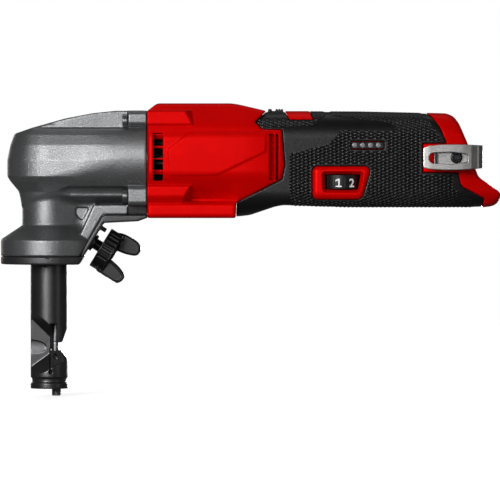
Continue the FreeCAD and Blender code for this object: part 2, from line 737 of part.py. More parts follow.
def make_grip():
    skin = common(cut(grip_form(), core_form()), rubber_zone())
    rubber = cut(
        skin, slider_well(), *housing_screw_holes(), vents(),
        plate(badge_outline(), -30, 30),
        plate(dial_outline(), -30, 0),
        plate(gauge_outline(), -30, 0),
        box((193.8, -30, 47.8), (219.5, -19, 62.7)))
    keep("grip_overmould_left", common(rubber, box((90, -40, 20), (240, 0, 90))))
    keep("grip_overmould_right", common(rubber, box((90, 0, 20), (240, 40, 90))))
    keep("badge", common(skin, plate(badge_outline(), -30, 30)))
    window = [(143.4, 38.9), (160.7, 38.9), (160.7, 46.8), (143.4, 46.8)]
    keep("dial_bezel", cut(common(skin, plate(dial_outline(), -30, 0)), plate(window, -30, 0)))
    keep("gauge_frame", cut(common(skin, plate(gauge_outline(), -30, 0)), lens_bores(0.02)))
    keep("gauge_lenses", group(*[
        cylinder("lens_radius", (f"lens_first_x + {i} * lens_pitch", "-grip_half_width", "lens_z"),
                 4.1, "Y") for i in range(4)]))


# ---------------------------------------------------------------- motor and electrics

def make_motor():
    axis = {"at": (0, 0, "motor_axis_z"), "along": "X"}
    core = ring("stator_radius", 18.5, 66, 86, **axis)
    winding = ring(18.5, "stator_bore", 63, 89, **axis)
    keep("stator", fuse(core, winding))
    keep("hall_board", ring(16, 4, 90.2, 91.6, **axis))
    keep("motor_leads", group(*[
        along_motor(1.1, 91.9, 110, 66, y) for y in (-4, 0, 4)]))


def make_electrics():
    board = box((112, -14, 50), (163, 14, 52))
    capacitor = along_motor(4.6, 136, 156, 56.4)
    driver = box((128, -12, 51.9), (134, 12, 56))
    keep("control_board", fuse(board, capacitor, driver))
    keep("switch_module", cut(
        box((111, -6.5, 58), (127, 6.5, 70)),
        box(("slider_front - 1.5", -2.4, 66), (120, 2.4, 71))))
    keep("dial_potentiometer", fuse(
        box(("dial_x - 7", "dial_y - 4.9", 34.2), ("dial_x + 7", "dial_y + 6.5", 37)),
        cylinder(1.5, ("dial_x", "dial_y", 36.5), 9.5)))
    keep("terminal_block", box((166.1, -13.9, 40.1), (171.9, 13.9, 69.9)))
    keep("battery_contacts", group(*[
        box((171.9, y - 0.5, z - 4), (181, y + 0.5, z + 4))
        for y, z in ((-8, 60), (8, 60), (-3, 48), (3, 48))]))
    keep("battery_leads", group(*[
        along_motor(1.3, 156.5, 166, 64, y) for y in (-6, 6)]))
    keep("gauge_board", box((155.5, -19.0, 57.5), (173.8, -17.6, 66)))


# ---------------------------------------------------------------- controls and clip

def make_controls():
    pad = box(("slider_front", "-slider_half_width", 76.8), ("slider_back", "slider_half_width", 79.4))
    ribs = [box((f"slider_front + {x}", "-slider_half_width", 79.3),
                (f"slider_front + {x} + 1.2", "slider_half_width", 80.6))
            for x in (0, 4.2, 6.6)]
    stem = box(("slider_front + 2.2", -2, 67), ("slider_front + 5.4", 2, 77))
    keep("switch_slider", fuse(pad, stem, *ribs))
    drum = cylinder("dial_radius", ("dial_x", "dial_y", "dial_bottom"), "dial_top - dial_bottom")
    keep("speed_dial", cut(drum, cylinder(1.6, ("dial_x", "dial_y", 37), 11)))


def make_belt_clip():
    """A strip folded into a U: the inner leaf is screwed down and the outer leaf hooks on a belt."""
    inner, outer, thick = "clip_boss_y", "clip_leaf_y", "clip_thickness"
    bend = [(220.0, f"-{outer}"), (222.6, f"-{outer} + 1.2"), (224.2, f"-{outer} + 3"),
            (224.6, "-30.1"), (224.2, "-27.2"), (222.6, f"-{inner} - 0.9"), (220.0, f"-{inner} - 0.02")]
    inside = [(201.0, f"-{inner} - 0.02"), (201.0, f"-{inner} - {thick}"),
              (219.6, f"-{inner} - {thick}"), (221.8, f"-{inner} - 2.1"), (223.2, "-28.2"),
              (223.4, "-30.1"), (223.1, "-32.0"), (221.8, f"-{outer} + 1.9"),
              (219.6, f"-{outer} + {thick}"), (196.0, f"-{outer} + {thick}"),
              (193.4, f"-{outer} + {thick} - 0.9"), (193.4, f"-{outer} - 0.0"), (196.0, f"-{outer}")]
    strip = plan_plate(bend + inside, "clip_low_z", "clip_high_z")
    leaf_face = [(192, 50.9), (196, 49.6), (210, 49), (226, 50.1), (226, 61.8), (210, 62.9),
                 (196, 61.8), (192, 60.3)]
    slot = [(196.7, 54), (198.5, 52.6), (209, 52.1), (216.9, 53.6), (216.9, 57.0), (209, 58.3),
            (198.5, 58.0), (196.7, 56.8)]
    keep("belt_clip", cut(
        common(strip, plate(leaf_face, -40, 0)),
        plate(slot, "-clip_leaf_y - 3", "-clip_leaf_y + 4"),
        cylinder(2.0, ("clip_screw_x", -28, "clip_screw_z"), 5, "Y")))
    keep("belt_clip_screw", screw(3.1, 1.9, 1.9, 7, ("clip_screw_x", "-clip_boss_y - clip_thickness - 1.95",
                                                     "clip_screw_z"), "Y"))


# ---------------------------------------------------------------- build, check, write

make_gear_case()
make_base_cover()
make_head_fasteners()
make_crank()
make_rotor()
make_bearings()
make_ram()
make_punch()
make_die_holder()
make_clamp()
make_housing()
make_grip()
make_motor()
make_electrics()
make_controls()
make_belt_clip()
doc.recompute()

for obj in doc.Objects:
    if "Invalid" in obj.State or "Error" in obj.State:
        raise RuntimeError(f"{obj.Name} ({obj.Label}) failed to compute")
for label, obj in sub_parts.items():
    if obj.Shape.isNull() or not obj.Shape.isValid():
        raise RuntimeError(f"{label} has no valid shape")
    if not obj.Shape.Solids:
        raise RuntimeError(f"{label} has no solid")
    obj.Shape.exportStep(os.path.join("parts", f"{label}.step"))
    extent = obj.Shape.BoundBox
    print(f"{label}: {len(obj.Shape.Solids)} solid(s), {obj.Shape.Volume:.1f} mm3, "
          f"X {extent.XMin:.1f}..{extent.XMax:.1f} Y {extent.YMin:.1f}..{extent.YMax:.1f} "
          f"Z {extent.ZMin:.1f}..{extent.ZMax:.1f}")
print(len(sub_parts), "sub-parts")
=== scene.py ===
import json
import math

import bpy
import numpy as np
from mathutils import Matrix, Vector


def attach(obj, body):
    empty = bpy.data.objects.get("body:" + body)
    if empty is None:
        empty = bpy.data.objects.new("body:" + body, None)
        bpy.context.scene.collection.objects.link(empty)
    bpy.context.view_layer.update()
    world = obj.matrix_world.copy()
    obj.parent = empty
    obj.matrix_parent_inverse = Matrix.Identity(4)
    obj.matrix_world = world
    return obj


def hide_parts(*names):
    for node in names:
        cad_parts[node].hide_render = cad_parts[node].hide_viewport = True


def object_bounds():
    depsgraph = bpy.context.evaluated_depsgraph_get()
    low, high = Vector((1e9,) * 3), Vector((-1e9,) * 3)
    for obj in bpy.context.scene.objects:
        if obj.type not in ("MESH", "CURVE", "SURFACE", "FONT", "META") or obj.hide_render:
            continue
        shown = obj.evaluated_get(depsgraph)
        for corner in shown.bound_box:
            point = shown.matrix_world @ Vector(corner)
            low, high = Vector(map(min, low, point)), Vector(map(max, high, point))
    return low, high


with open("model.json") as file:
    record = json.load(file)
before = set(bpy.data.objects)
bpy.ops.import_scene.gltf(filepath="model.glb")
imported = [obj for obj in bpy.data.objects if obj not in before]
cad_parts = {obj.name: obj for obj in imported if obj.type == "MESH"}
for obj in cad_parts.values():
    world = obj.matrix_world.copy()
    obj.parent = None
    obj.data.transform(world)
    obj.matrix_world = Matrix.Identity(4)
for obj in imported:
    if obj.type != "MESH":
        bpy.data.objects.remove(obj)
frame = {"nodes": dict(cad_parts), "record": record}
cad_low, cad_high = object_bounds()

# Shapes are worked out in millimetres as signed distances on a grid, and meshed in metres.
MM = 0.001
# how many steps a grid reaches past its shape's box
GRID_MARGIN = 1.5
# how finely a turned profile is looked up across its radius
TABLE_SIZE = 500


# -------- fields

def lattice(low, high, step, stretch=None):
    """Grid axes that broadcast against each other; stretch is (from, to, coarser step) along X."""
    axes = []
    for axis in range(3):
        gap = step[axis] if isinstance(step, tuple) else step
        a, b = low[axis] - GRID_MARGIN * gap, high[axis] + GRID_MARGIN * gap
        if axis == 0 and stretch:
            start, end, coarse = stretch
            line = np.concatenate([
                np.arange(a, start, gap), np.arange(start, end, coarse), np.arange(end, b + gap, gap)])
        else:
            line = np.arange(a, b + gap, gap)
        shape = [1, 1, 1]
        shape[axis] = -1
        axes.append(line.astype(np.float32).reshape(shape))
    return axes


def soft_max(a, b, radius):
    """Where both shapes are: an intersection with a rounded edge."""
    near = np.maximum(radius - np.abs(a - b), 0) / radius
    return np.maximum(a, b) + near * near * (radius * 0.25)


def soft_min(a, b, radius):
    """Where either shape is: a union with a fillet."""
    return -soft_max(-a, -b, radius)


def join_inside(radius, *fields):
    """Where all the shapes are, with rounded edges."""
    total = fields[0]
    for field in fields[1:]:
        total = soft_max(total, field, radius)
    return total


def join(radius, *fields):
    """Where any of the shapes is, with fillets."""
    return -join_inside(radius, *[-field for field in fields])


def trim(radius, base, *tools):
    """The base with the tools cut out, their rims rounded."""
    for tool in tools:
        base = soft_max(base, -tool, radius)
    return base


def slab(v, low, high):
    """Between two planes."""
    return np.abs(v - (low + high) / 2) - (high - low) / 2


def rod(u, v, radius, w, low, high, edge=0.4):
    """A round bar: u and v run across it, and w along it."""
    return soft_max(np.hypot(u, v) - radius, slab(w, low, high), edge)


def drill(u, v, radius, w, low, high):
    """A round hole with sharp rims, to be cut out: u and v run across it, and w along it."""
    return np.maximum(np.hypot(u, v) - radius, slab(w, low, high))


def flat_block(u, v, low, high, radius):
    """A rounded rectangle in the plane of u and v."""
    a = np.abs(u - (low[0] + high[0]) / 2) - (high[0] - low[0]) / 2 + radius
    b = np.abs(v - (low[1] + high[1]) / 2) - (high[1] - low[1]) / 2 + radius
    return np.hypot(np.maximum(a, 0), np.maximum(b, 0)) + np.minimum(np.maximum(a, b), 0) - radius


def rounded_block(x, y, z, low, high, radius):
    q = [np.abs(c - (a + b) / 2) - (b - a) / 2 + radius for c, a, b in zip((x, y, z), low, high)]
    outside = np.sqrt(sum(np.maximum(c, 0) ** 2 for c in q))
    return outside + np.minimum(np.maximum(np.maximum(q[0], q[1]), q[2]), 0) - radius


def soften(points, radius, steps=4):
    """The outline with its corners rounded."""
    rounded = []
    for i, corner in enumerate(points):
        p = np.array(corner, float)
        ends = []
        for other in (points[i - 1], points[(i + 1) % len(points)]):
            away = np.array(other, float) - p
            length = np.linalg.norm(away)
            ends.append(p + away / length * min(radius, 0.45 * length))
        for t in np.linspace(0, 1, steps + 1):
            rounded.append(tuple((1 - t) ** 2 * ends[0] + 2 * t * (1 - t) * p + t * t * ends[1]))
    return rounded


def outline(points, u, v, radius=0):
    """Signed distance to a closed outline in the plane of u and v, negative inside."""
    points = soften(points, radius) if radius else points
    nearest, side = np.float32(1e9), np.float32(1)
    for (ax, ay), (bx, by) in zip(points, points[1:] + points[:1]):
        ex, ey = bx - ax, by - ay
        if ex == 0 and ey == 0:
            continue
        wx, wy = u - ax, v - ay
        t = np.clip((wx * ex + wy * ey) / (ex * ex + ey * ey), 0, 1)
        nearest = np.minimum(nearest, (wx - ex * t) ** 2 + (wy - ey * t) ** 2)
        above, below, left = wy >= 0, v < by, ex * wy > ey * wx
        side = np.where((above == below) & (below == left), -side, side)
    return side * np.sqrt(nearest)


def mirrored(half):
    """The whole outline, from the half where the first coordinate isn't negative."""
    return half + [(-u, v) for u, v in reversed(half) if u > 0]


def turned(profile, radius, z, soft=0):
    """A profile of (radius, height) turned about Z, looked up from a fine table."""
    reach = float(radius.max()) + 0.1
    samples = np.linspace(0, reach, TABLE_SIZE, dtype=np.float32)
    table = outline(mirrored(profile), samples[:, None], z.ravel()[None, :], soft)
    place = radius[:, :, 0] / reach * (TABLE_SIZE - 1)
    index = place.astype(int)
    share = (place - index)[:, :, None]
    return table[index] * (1 - share) + table[np.minimum(index + 1, TABLE_SIZE - 1)] * share


def step_up(field, width):
    """1 well inside the outline, 0 outside, with a smooth ramp of that width just inside its edge."""
    t = np.clip(-field / width, 0, 1)
    return t * t * (3 - 2 * t)


# -------- meshes

def surface(field, axes):
    """Vertices, normals and quads where the field is zero: one vertex in each cell that it crosses."""
    inside = field < 0
    cells_shape = np.array(field.shape) - 1
    corners = [(i, j, k) for i in (0, 1) for j in (0, 1) for k in (0, 1)]
    count = np.zeros(cells_shape, np.int8)
    for i, j, k in corners:
        count += inside[i:cells_shape[0] + i, j:cells_shape[1] + j, k:cells_shape[2] + k]
    cells = np.argwhere((count > 0) & (count < 8))
    values = {c: field[tuple((cells + c).T)] for c in corners}
    total = np.zeros((len(cells), 3), np.float32)
    hits = np.zeros(len(cells), np.float32)
    edges = [(c, axis, tuple(1 if n == axis else c[n] for n in range(3)))
             for c in corners for axis in range(3) if c[axis] == 0]
    for a, axis, b in edges:
        crosses = (values[a] < 0) != (values[b] < 0)
        t = np.where(crosses, values[a] / np.where(crosses, values[a] - values[b], 1), 0)
        point = np.array(a, np.float32) + t[:, None] * np.eye(3, dtype=np.float32)[axis]
        total += point * crosses[:, None]
        hits += crosses
    local = total / hits[:, None]
    slope = np.zeros_like(local)
    for a, axis, b in edges:
        weight = 1
        for other in range(3):
            if other != axis:
                weight = weight * (local[:, other] if a[other] else 1 - local[:, other])
        slope[:, axis] += weight * (values[b] - values[a])
    spots = np.zeros_like(local)
    for axis in range(3):
        line = axes[axis].ravel()
        gap = line[cells[:, axis] + 1] - line[cells[:, axis]]
        spots[:, axis] = line[cells[:, axis]] + local[:, axis] * gap
        slope[:, axis] /= gap
    slope /= np.maximum(np.linalg.norm(slope, axis=1), 1e-6)[:, None]
    number = np.full(cells_shape, -1, np.int32)
    number[tuple(cells.T)] = np.arange(len(cells))
    quads = []
    for axis in range(3):
        second, third = (axis + 1) % 3, (axis + 2) % 3
        change = np.diff(inside, axis=axis)
        for other in (second, third):
            np.moveaxis(change, other, 0)[[0, -1]] = False
        spot = np.argwhere(change)
        ring = []
        for back_second, back_third in ((1, 1), (0, 1), (0, 0), (1, 0)):
            cell = spot.copy()
            cell[:, second] -= back_second
            cell[:, third] -= back_third
            ring.append(number[tuple(cell.T)])
        ring = np.stack(ring, 1)
        leaving = inside[tuple(spot.T)]
        quads.append(np.where(leaving[:, None], ring, ring[:, ::-1]))
    return spots, slope, np.concatenate(quads)


def placed_object(name, data):
    obj = bpy.data.objects.new(name, data)
    bpy.context.scene.collection.objects.link(obj)
    return obj


def build(name, parts, material, node, slot, body="tool_body"):
    """One mesh object from (vertices, normals, quads) in millimetres; it stands for the CAD node."""
    spots = np.concatenate([p[0] for p in parts])
    normals = np.concatenate([p[1] for p in parts])
    starts = np.cumsum([0] + [len(p[0]) for p in parts[:-1]])
    quads = np.concatenate([p[2] + s for p, s in zip(parts, starts)])
    mesh = bpy.data.meshes.new(name)
    mesh.vertices.add(len(spots))
    mesh.vertices.foreach_set("co", (spots * MM).astype(np.float32).ravel())
    mesh.loops.add(quads.size)
    mesh.loops.foreach_set("vertex_index", quads.astype(np.int32).ravel())
    mesh.polygons.add(len(quads))
    mesh.polygons.foreach_set("loop_start", np.arange(0, quads.size, 4, dtype=np.int32))
    mesh.update(calc_edges=True)
    mesh.polygons.foreach_set("use_smooth", np.ones(len(quads), bool))
    mesh.normals_split_custom_set_from_vertices(normals.astype(np.float32))
    mesh.materials.append(material)
    obj = placed_object(name, mesh)
    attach(obj, body)
    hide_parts(node)


def turn_part(part, matrix, at):
    """The part turned by the 3x3 matrix and then moved."""
    spots, normals, quads = part
    turn = np.array(matrix, np.float32).T
    return spots @ turn + np.array(at, np.float32), normals @ turn, quads


def shaped(low, high, step, form, stretch=None):
    """The surface of a form between two corners, as (vertices, normals, quads)."""
    axes = lattice(low, high, step, stretch)
    field = form(*axes)
    full = np.broadcast_to(field, [a.size for a in axes]).astype(np.float32)
    return surface(full, axes)


# -------- materials

# where each pattern fades in, in the values of its noise or of the edges' pointiness
CLOUDS = (0.3, 0.7)
FLECKS = (0.60, 0.72)
PITS = (0.28, 0.40)
WORN_AND_LIT_EDGES = (0.52, 0.60)
GRAIN_DEPTH = 0.0004
COAT_ROUGHNESS = 0.12
SMOOTHEST = 0.03
BLACK = (0, 0, 0, 1)


def linear(r, g, b):
    """A colour given as it shows on screen, 0 to 255, as the shader takes it."""
    return tuple((c / 255) ** 2.2 for c in (r, g, b)) + (1,)


def shade(colour, times, plus=0):
    """The colour made lighter or darker."""
    return tuple(min(c * times + plus, 1) for c in colour[:3]) + (1,)


def set_inputs(node, values):
    for label, value in values.items():
        node.inputs[label].default_value = value


def finish_for(name, colour, rough, metallic=0, tint=0.12, tint_scale=60, grain=0.12, grain_scale=1500,
               rough_swing=0.08, coat=0, stretch=(1, 1, 1), speck=0, speck_scale=1800, edge_wear_and_highlight=0,
               specular=0.5):
    """A procedural finish: cloudy colour, uneven roughness and a fine grain; specks and lightened edges if
    asked (worn edges, and on the knob also a painted highlight).
    """
    mat = bpy.data.materials.new(name)
    mat.use_nodes = True
    nodes, links = mat.node_tree.nodes, mat.node_tree.links
    shader = nodes["Principled BSDF"]
    set_inputs(shader, {"Metallic": metallic, "Coat Weight": coat, "Coat Roughness": COAT_ROUGHNESS,
                        "Specular IOR Level": specular})
    spot = nodes.new("ShaderNodeTexCoord")
    mapping = nodes.new("ShaderNodeMapping")
    mapping.inputs["Scale"].default_value = stretch
    links.new(spot.outputs["Object"], mapping.inputs["Vector"])

    def noise(scale, detail):
        node = nodes.new("ShaderNodeTexNoise")
        set_inputs(node, {"Scale": scale, "Detail": detail})
        links.new(mapping.outputs["Vector"], node.inputs["Vector"])
        return node.outputs["Fac"]

    def ramp(source, places, *colours):
        node = nodes.new("ShaderNodeValToRGB")
        for stop, place, colour_here in zip(node.color_ramp.elements, places, colours):
            stop.position = place
            stop.color = colour_here
        links.new(source, node.inputs["Fac"])
        return node.outputs["Color"]

    def over(fac, below, above_colour):
        node = nodes.new("ShaderNodeMix")
        node.data_type = "RGBA"
        links.new(fac, node.inputs["Factor"])
        links.new(below, node.inputs["A"])
        node.inputs["B"].default_value = above_colour
        return node.outputs["Result"]

    base = linear(*colour)
    paint = ramp(noise(tint_scale, 4), CLOUDS, shade(base, 1 - tint), shade(base, 1 + tint))
    if speck:
        strength = (speck, speck, speck, 1)
        flecks = ramp(noise(speck_scale, 1), FLECKS, BLACK, strength)
        paint = over(flecks, paint, shade(base, 2.6, 0.03))
        pits = ramp(noise(speck_scale * 0.8, 1), PITS, strength, BLACK)
        paint = over(pits, paint, shade(base, 0.35))
    # edges made lighter by their pointiness: worn edges, and on the knob's ridges also a painted highlight
    if edge_wear_and_highlight:
        curve = nodes.new("ShaderNodeNewGeometry")
        edge = ramp(curve.outputs["Pointiness"], WORN_AND_LIT_EDGES, BLACK, (edge_wear_and_highlight, edge_wear_and_highlight, edge_wear_and_highlight, 1))
        paint = over(edge, paint, shade(base, 2.2, 0.05))
    links.new(paint, shader.inputs["Base Color"])
    level = nodes.new("ShaderNodeMapRange")
    set_inputs(level, {"To Min": max(rough - rough_swing, SMOOTHEST), "To Max": min(rough + rough_swing, 1)})
    links.new(noise(tint_scale * 3, 3), level.inputs["Value"])
    links.new(level.outputs["Result"], shader.inputs["Roughness"])
    relief = nodes.new("ShaderNodeBump")
    set_inputs(relief, {"Strength": grain, "Distance": GRAIN_DEPTH})
    links.new(noise(grain_scale, 3), relief.inputs["Height"])
    links.new(relief.outputs["Normal"], shader.inputs["Normal"])
    return mat


CAST = finish_for(
    "Cast_grey_paint", (121, 122, 123), 0.41, metallic=0.85, tint=0.06, speck=0.36, grain=0.35,
    grain_scale=1600, edge_wear_and_highlight=0.2)
CAST_DARK = finish_for(
    "Cast_dark_paint", (72, 72, 73), 0.44, metallic=0.75, tint=0.08, speck=0.25, grain=0.3,
    grain_scale=1600, edge_wear_and_highlight=0.25)
BLACK_STEEL = finish_for(
    "Black_oxide_steel", (79, 79, 80), 0.33, metallic=0.9, tint_scale=120, grain=0.10, rough_swing=0.03,
    edge_wear_and_highlight=0.3)
BLACK_SCREW = finish_for(
    "Black_screw_steel", (50, 50, 52), 0.28, metallic=0.9, tint=0.15, tint_scale=400, grain=0.1, edge_wear_and_highlight=0.3)
PLAIN_STEEL = finish_for(
    "Plain_screw_steel", (118, 118, 119), 0.34, metallic=0.9, tint=0.1, tint_scale=300, grain=0.1, edge_wear_and_highlight=0.3)
BRIGHT_STEEL = finish_for(
    "Ground_steel", (132, 133, 135), 0.40, metallic=1, tint=0.06, tint_scale=300, grain=0.1,
    grain_scale=2500, stretch=(1, 1, 0.08))
SPRING_STEEL = finish_for(
    "Polished_spring_steel", (160, 159, 157), 0.31, metallic=1, tint=0.05, tint_scale=200, grain=0.08,
    grain_scale=2200, stretch=(0.08, 1, 1))
RED = finish_for(
    "Moulded_red_plastic", (211, 3, 1), 0.44, metallic=0.25, tint=0.05, tint_scale=90, grain=0.10,
    grain_scale=2600, rough_swing=0.05, specular=0.04)
RED_INLAY = finish_for(
    "Red_inlay_plastic", (216, 5, 3), 0.42, metallic=0.25, tint=0.05, tint_scale=120, grain=0.06,
    grain_scale=2600, specular=0.05)
DARK_RED = finish_for(
    "Dark_red_light_guide", (78, 8, 8), 0.35, tint=0.1, tint_scale=200, grain=0.05, specular=0.2)
RUBBER = finish_for(
    "Black_grip_rubber", (17, 17, 18), 0.38, tint_scale=80, grain=0.16, grain_scale=2400, rough_swing=0.05,
    specular=0.34)
BLACK_PLASTIC = finish_for(
    "Glass_filled_black_plastic", (17, 17, 18), 0.46, tint=0.15, tint_scale=150, grain=0.15,
    grain_scale=2000, specular=0.32, edge_wear_and_highlight=0.2)
# its strong edge lightening is partly worn edges and partly a painted highlight on the ridges and wing edges
KNOB_PLASTIC = finish_for(
    "Moulded_knob_plastic", (17, 17, 18), 0.36, tint=0.15, tint_scale=150, grain_scale=2000, specular=0.45,
    edge_wear_and_highlight=0.5)
LENS = finish_for(
    "Diffuse_grey_lens", (126, 127, 130), 0.35, tint=0.04, tint_scale=500, grain=0.04, coat=0.1)
WHITE_PRINT = finish_for("White_printing", (232, 233, 236), 0.4, tint=0.03, tint_scale=500, grain=0.05)

SLOT_FINISH = {
    "cast_metal": CAST, "black_steel": BLACK_STEEL, "bright_steel": BRIGHT_STEEL, "red_inlay": RED_INLAY,
    "spring_steel": SPRING_STEEL, "red_plastic": RED, "grip_rubber": RUBBER,
    "black_plastic": BLACK_PLASTIC, "grey_lens": LENS,
    "bronze": finish_for(
        "Sintered_bronze", (176, 128, 70), 0.42, metallic=0.9, tint=0.2, tint_scale=300, grain=0.25),
    "alloy_plate": finish_for(
        "Machined_alloy", (176, 178, 180), 0.36, metallic=0.9, tint=0.07, tint_scale=200, grain=0.15),
    "lamination": finish_for(
        "Laminated_core_steel", (92, 92, 96), 0.45, metallic=0.8, tint=0.25, tint_scale=30, grain=0.3,
        grain_scale=900, stretch=(14, 0.3, 0.3)),
    "circuit_board": finish_for("Circuit_board", (18, 74, 44), 0.4, tint=0.3, tint_scale=700, coat=0.2),
    "copper": finish_for(
        "Enamelled_copper", (186, 104, 58), 0.34, metallic=0.9, tint=0.25, tint_scale=500, grain=0.3,
        grain_scale=900),
    "wire_sleeve": finish_for("Wire_sleeve", (150, 24, 20), 0.45, tint=0.1, tint_scale=400, grain=0.1),
}
SLOT_OF_NODE = {part["node"]: part["material_slot"] for part in frame["record"]["subparts"]}
for node_name, node in frame["nodes"].items():
    node.data.materials.clear()
    node.data.materials.append(SLOT_FINISH[SLOT_OF_NODE[node_name]])


# -------- gear case

MOTOR_Z = 55.2
# the casting ends just before the seam with the housing, and the housing starts just after it
CASE_END = 51.05
SEAM = 51.1
HOUSING_START = 51.15
# the flange and the base cover under it have one radius
FLANGE_RADIUS = 25.15
COVER_TOP = 4.2
BARREL_SIDE = [
    (SEAM, 79.7), (34.7, 79.7), (22.7, 78.4), (8.9, 75.8), (-8.3, 71), (-18.3, 67.6), (-20.4, 62),
    (-22, 54.2), (-22, 45.6), (-20.4, 43), (-16.1, 37.9), (-14.4, 31.8), (-14, 28), (SEAM, 28),
]
BARREL_HALF_PLAN = [(60, 27), (32, 25.2), (12, 22.9), (-4, 21.6), (-12.5, 18.4), (-18.6, 12.6), (-22, 5)]
BARREL_PLAN = BARREL_HALF_PLAN + [(x, -y) for x, y in reversed(BARREL_HALF_PLAN)]
CAVITY_SIDE = [
    (60, 78), (41.6, 78), (41.6, 68), (-10, 68), (-15.5, 64.5), (-18.4, 54), (-18.4, 46.5), (-13.2, 40),
    (-13.2, 33), (60, 33),
]
HEAD_PROFILE = [(0, 4.25), (FLANGE_RADIUS, 4.25), (FLANGE_RADIUS, 12.8), (14, 20.2), (14, 37), (0, 37)]
HEAD_BORE = [(0, -2), (17, -2), (17, 16), (10, 16), (10, 30.4), (7.4, 30.4), (7.4, 36), (0, 36)]
# where the casting and the base cover meet, along the strut
PARTING = [(15.8, -2), (15.8, COVER_TOP), (27.8, 25), (29.5, 25.8), (60, 25.8), (60, -2)]
BAND = [(16.7, 16.3), (23.5, 31), (CASE_END, 31), (CASE_END, 25.85), (29.5, 25.8), (27.8, 25),
        (15.8, COVER_TOP), (12, COVER_TOP), (12, 12)]
WEB = [(8, 31.5), (24, 31.5), (16.6, 15.5), (8, 15.5)]
WEB_POCKET = [(13.7, 29.6), (21, 29.4), (17.9, 23.6), (16.9, 23), (13.9, 25.6)]
# how far the nose draws in above and below its upright facet
NOSE_HEIGHTS = (28, 31.8, 37.9, 43, 45.6, 54.2, 62, 67.6, 73)
NOSE_INSETS = (8, 7.6, 5.9, 1.6, 0, 0, 1.6, 3.7, 9)
# the screw bosses reach from here to the seam
BOSS_START = 41.2
BOSS_HEIGHTS = ((71.6, 79.65), (30.6, 40.7))
CASE_SCREW_Z = (74.5, 35.6)
BOSS_Y = 19
CLAMP_AT = np.array((22.6, 0, 11.4))
CLAMP_OUT = np.array((0.85264, 0, -0.52250))
CLAMP_UP = np.array((0.52250, 0, 0.85264))
BUSH_RADIUS = 4.5
PIN_UP = 8.7


def clamp_frame(x, z):
    """Height out of the strut's face, and distance up the face."""
    dx, dz = x - CLAMP_AT[0], z - CLAMP_AT[2]
    return dx * CLAMP_OUT[0] + dz * CLAMP_OUT[2], dx * CLAMP_UP[0] + dz * CLAMP_UP[2]


def gear_case(x, y, z):
    across = np.abs(y)
    plan = outline(BARREL_PLAN, x, y, 4)
    nose = plan + np.interp(z, NOSE_HEIGHTS, NOSE_INSETS).astype(np.float32)
    from_side = outline(BARREL_SIDE, x, z, 1.2)
    barrel = join_inside(1, np.hypot(y, z - MOTOR_Z) - 24.5, from_side, nose)
    ridge = join_inside(1, across - 15, 68 - z, from_side, nose)
    barrel = soft_max(np.minimum(barrel, ridge), x - CASE_END, 0.3)
    head = turned(HEAD_PROFILE, np.hypot(x, y), z, 0.8)
    rear_slope = (30.6 - z) * 0.45 * np.clip((x - 40.6) / 0.8, 0, 1)
    band = join_inside(0.8, outline(BAND, x, z), across - 14.6 + rear_slope)
    web = join_inside(1, outline(WEB, x, z), across - 7.6)
    body = join(2, barrel, soft_min(head, web, 5))
    body = soft_min(body, band, 0.9)
    pocket = join_inside(0.3, outline(WEB_POCKET, x, z, 1.6), 6.3 - across)
    body = soft_max(body, -pocket, 0.6)
    for low, high in BOSS_HEIGHTS:
        section = flat_block(across, z, (10, low), (23.7, high), 2.6)
        body = soft_min(body, join_inside(0.5, section, slab(x, BOSS_START, CASE_END)), 0.6)
    body = trim(0.4, body, outline(PARTING, x, z) + 0.06)
    shelf = join_inside(1, 13.2 - across, 70.5 - z, slab(x, -14, BOSS_START))
    body = soft_max(body, -shelf, 0.8)
    reach = 4.4 * np.sqrt(np.clip((x + 0.5) / 12, 0, 1))
    groove = join_inside(0.4, np.hypot(across - 18.9, z - 36) - reach, slab(x, -1, BOSS_START))
    body = soft_max(body, -groove, 0.5)
    cavity = join_inside(2, np.hypot(y, z - MOTOR_Z) - 21.3, outline(CAVITY_SIDE, x, z), nose + 2.6)
    body = soft_max(body, -cavity, 0.6)
    yoke_room = rounded_block(x, y, z, (-6.4, -11.6, 30.6), (6.4, 11.6, 39), 0.8)
    bore = turned(HEAD_BORE, np.hypot(x, y), z)
    out, up = clamp_frame(x, z)
    bush_hole = rod(up, y, BUSH_RADIUS, out, -9, 4, 0.3)
    body = trim(0.5, body, yoke_room, bore, bush_hole)
    for height in CASE_SCREW_Z:
        body = soft_max(body, -rod(across - BOSS_Y, z - height, 2.05, x, 40, 53, 0.2), 0.4)
    return body


build("gear_case_cast", [shaped((-25.2, -25.2, COVER_TOP), (SEAM, 25.2, 79.7), 0.56, gear_case)], CAST,
      "gear_case", "cast_metal")

# -------- base cover

COVER_BAND = [(12, 4.15), (15.75, 4.15), (27.75, 24.95), (29.5, 25.75), (CASE_END, 25.75), (CASE_END, 24.1),
              (46.4, 22.4), (28.7, 21.5), (15.8, 0.4), (12, 0.1)]
UNDER_BAND = [(15.5, -1), (15.8, 0.2), (28.7, 21.5), (60, 22), (60, -1)]
COVER_SCREWS = [(-21.1, 0, 0), (0, 21.1, 0), (0, -21.1, 0), (40, 11, 22.1),
                (40, -11, 22.1)]


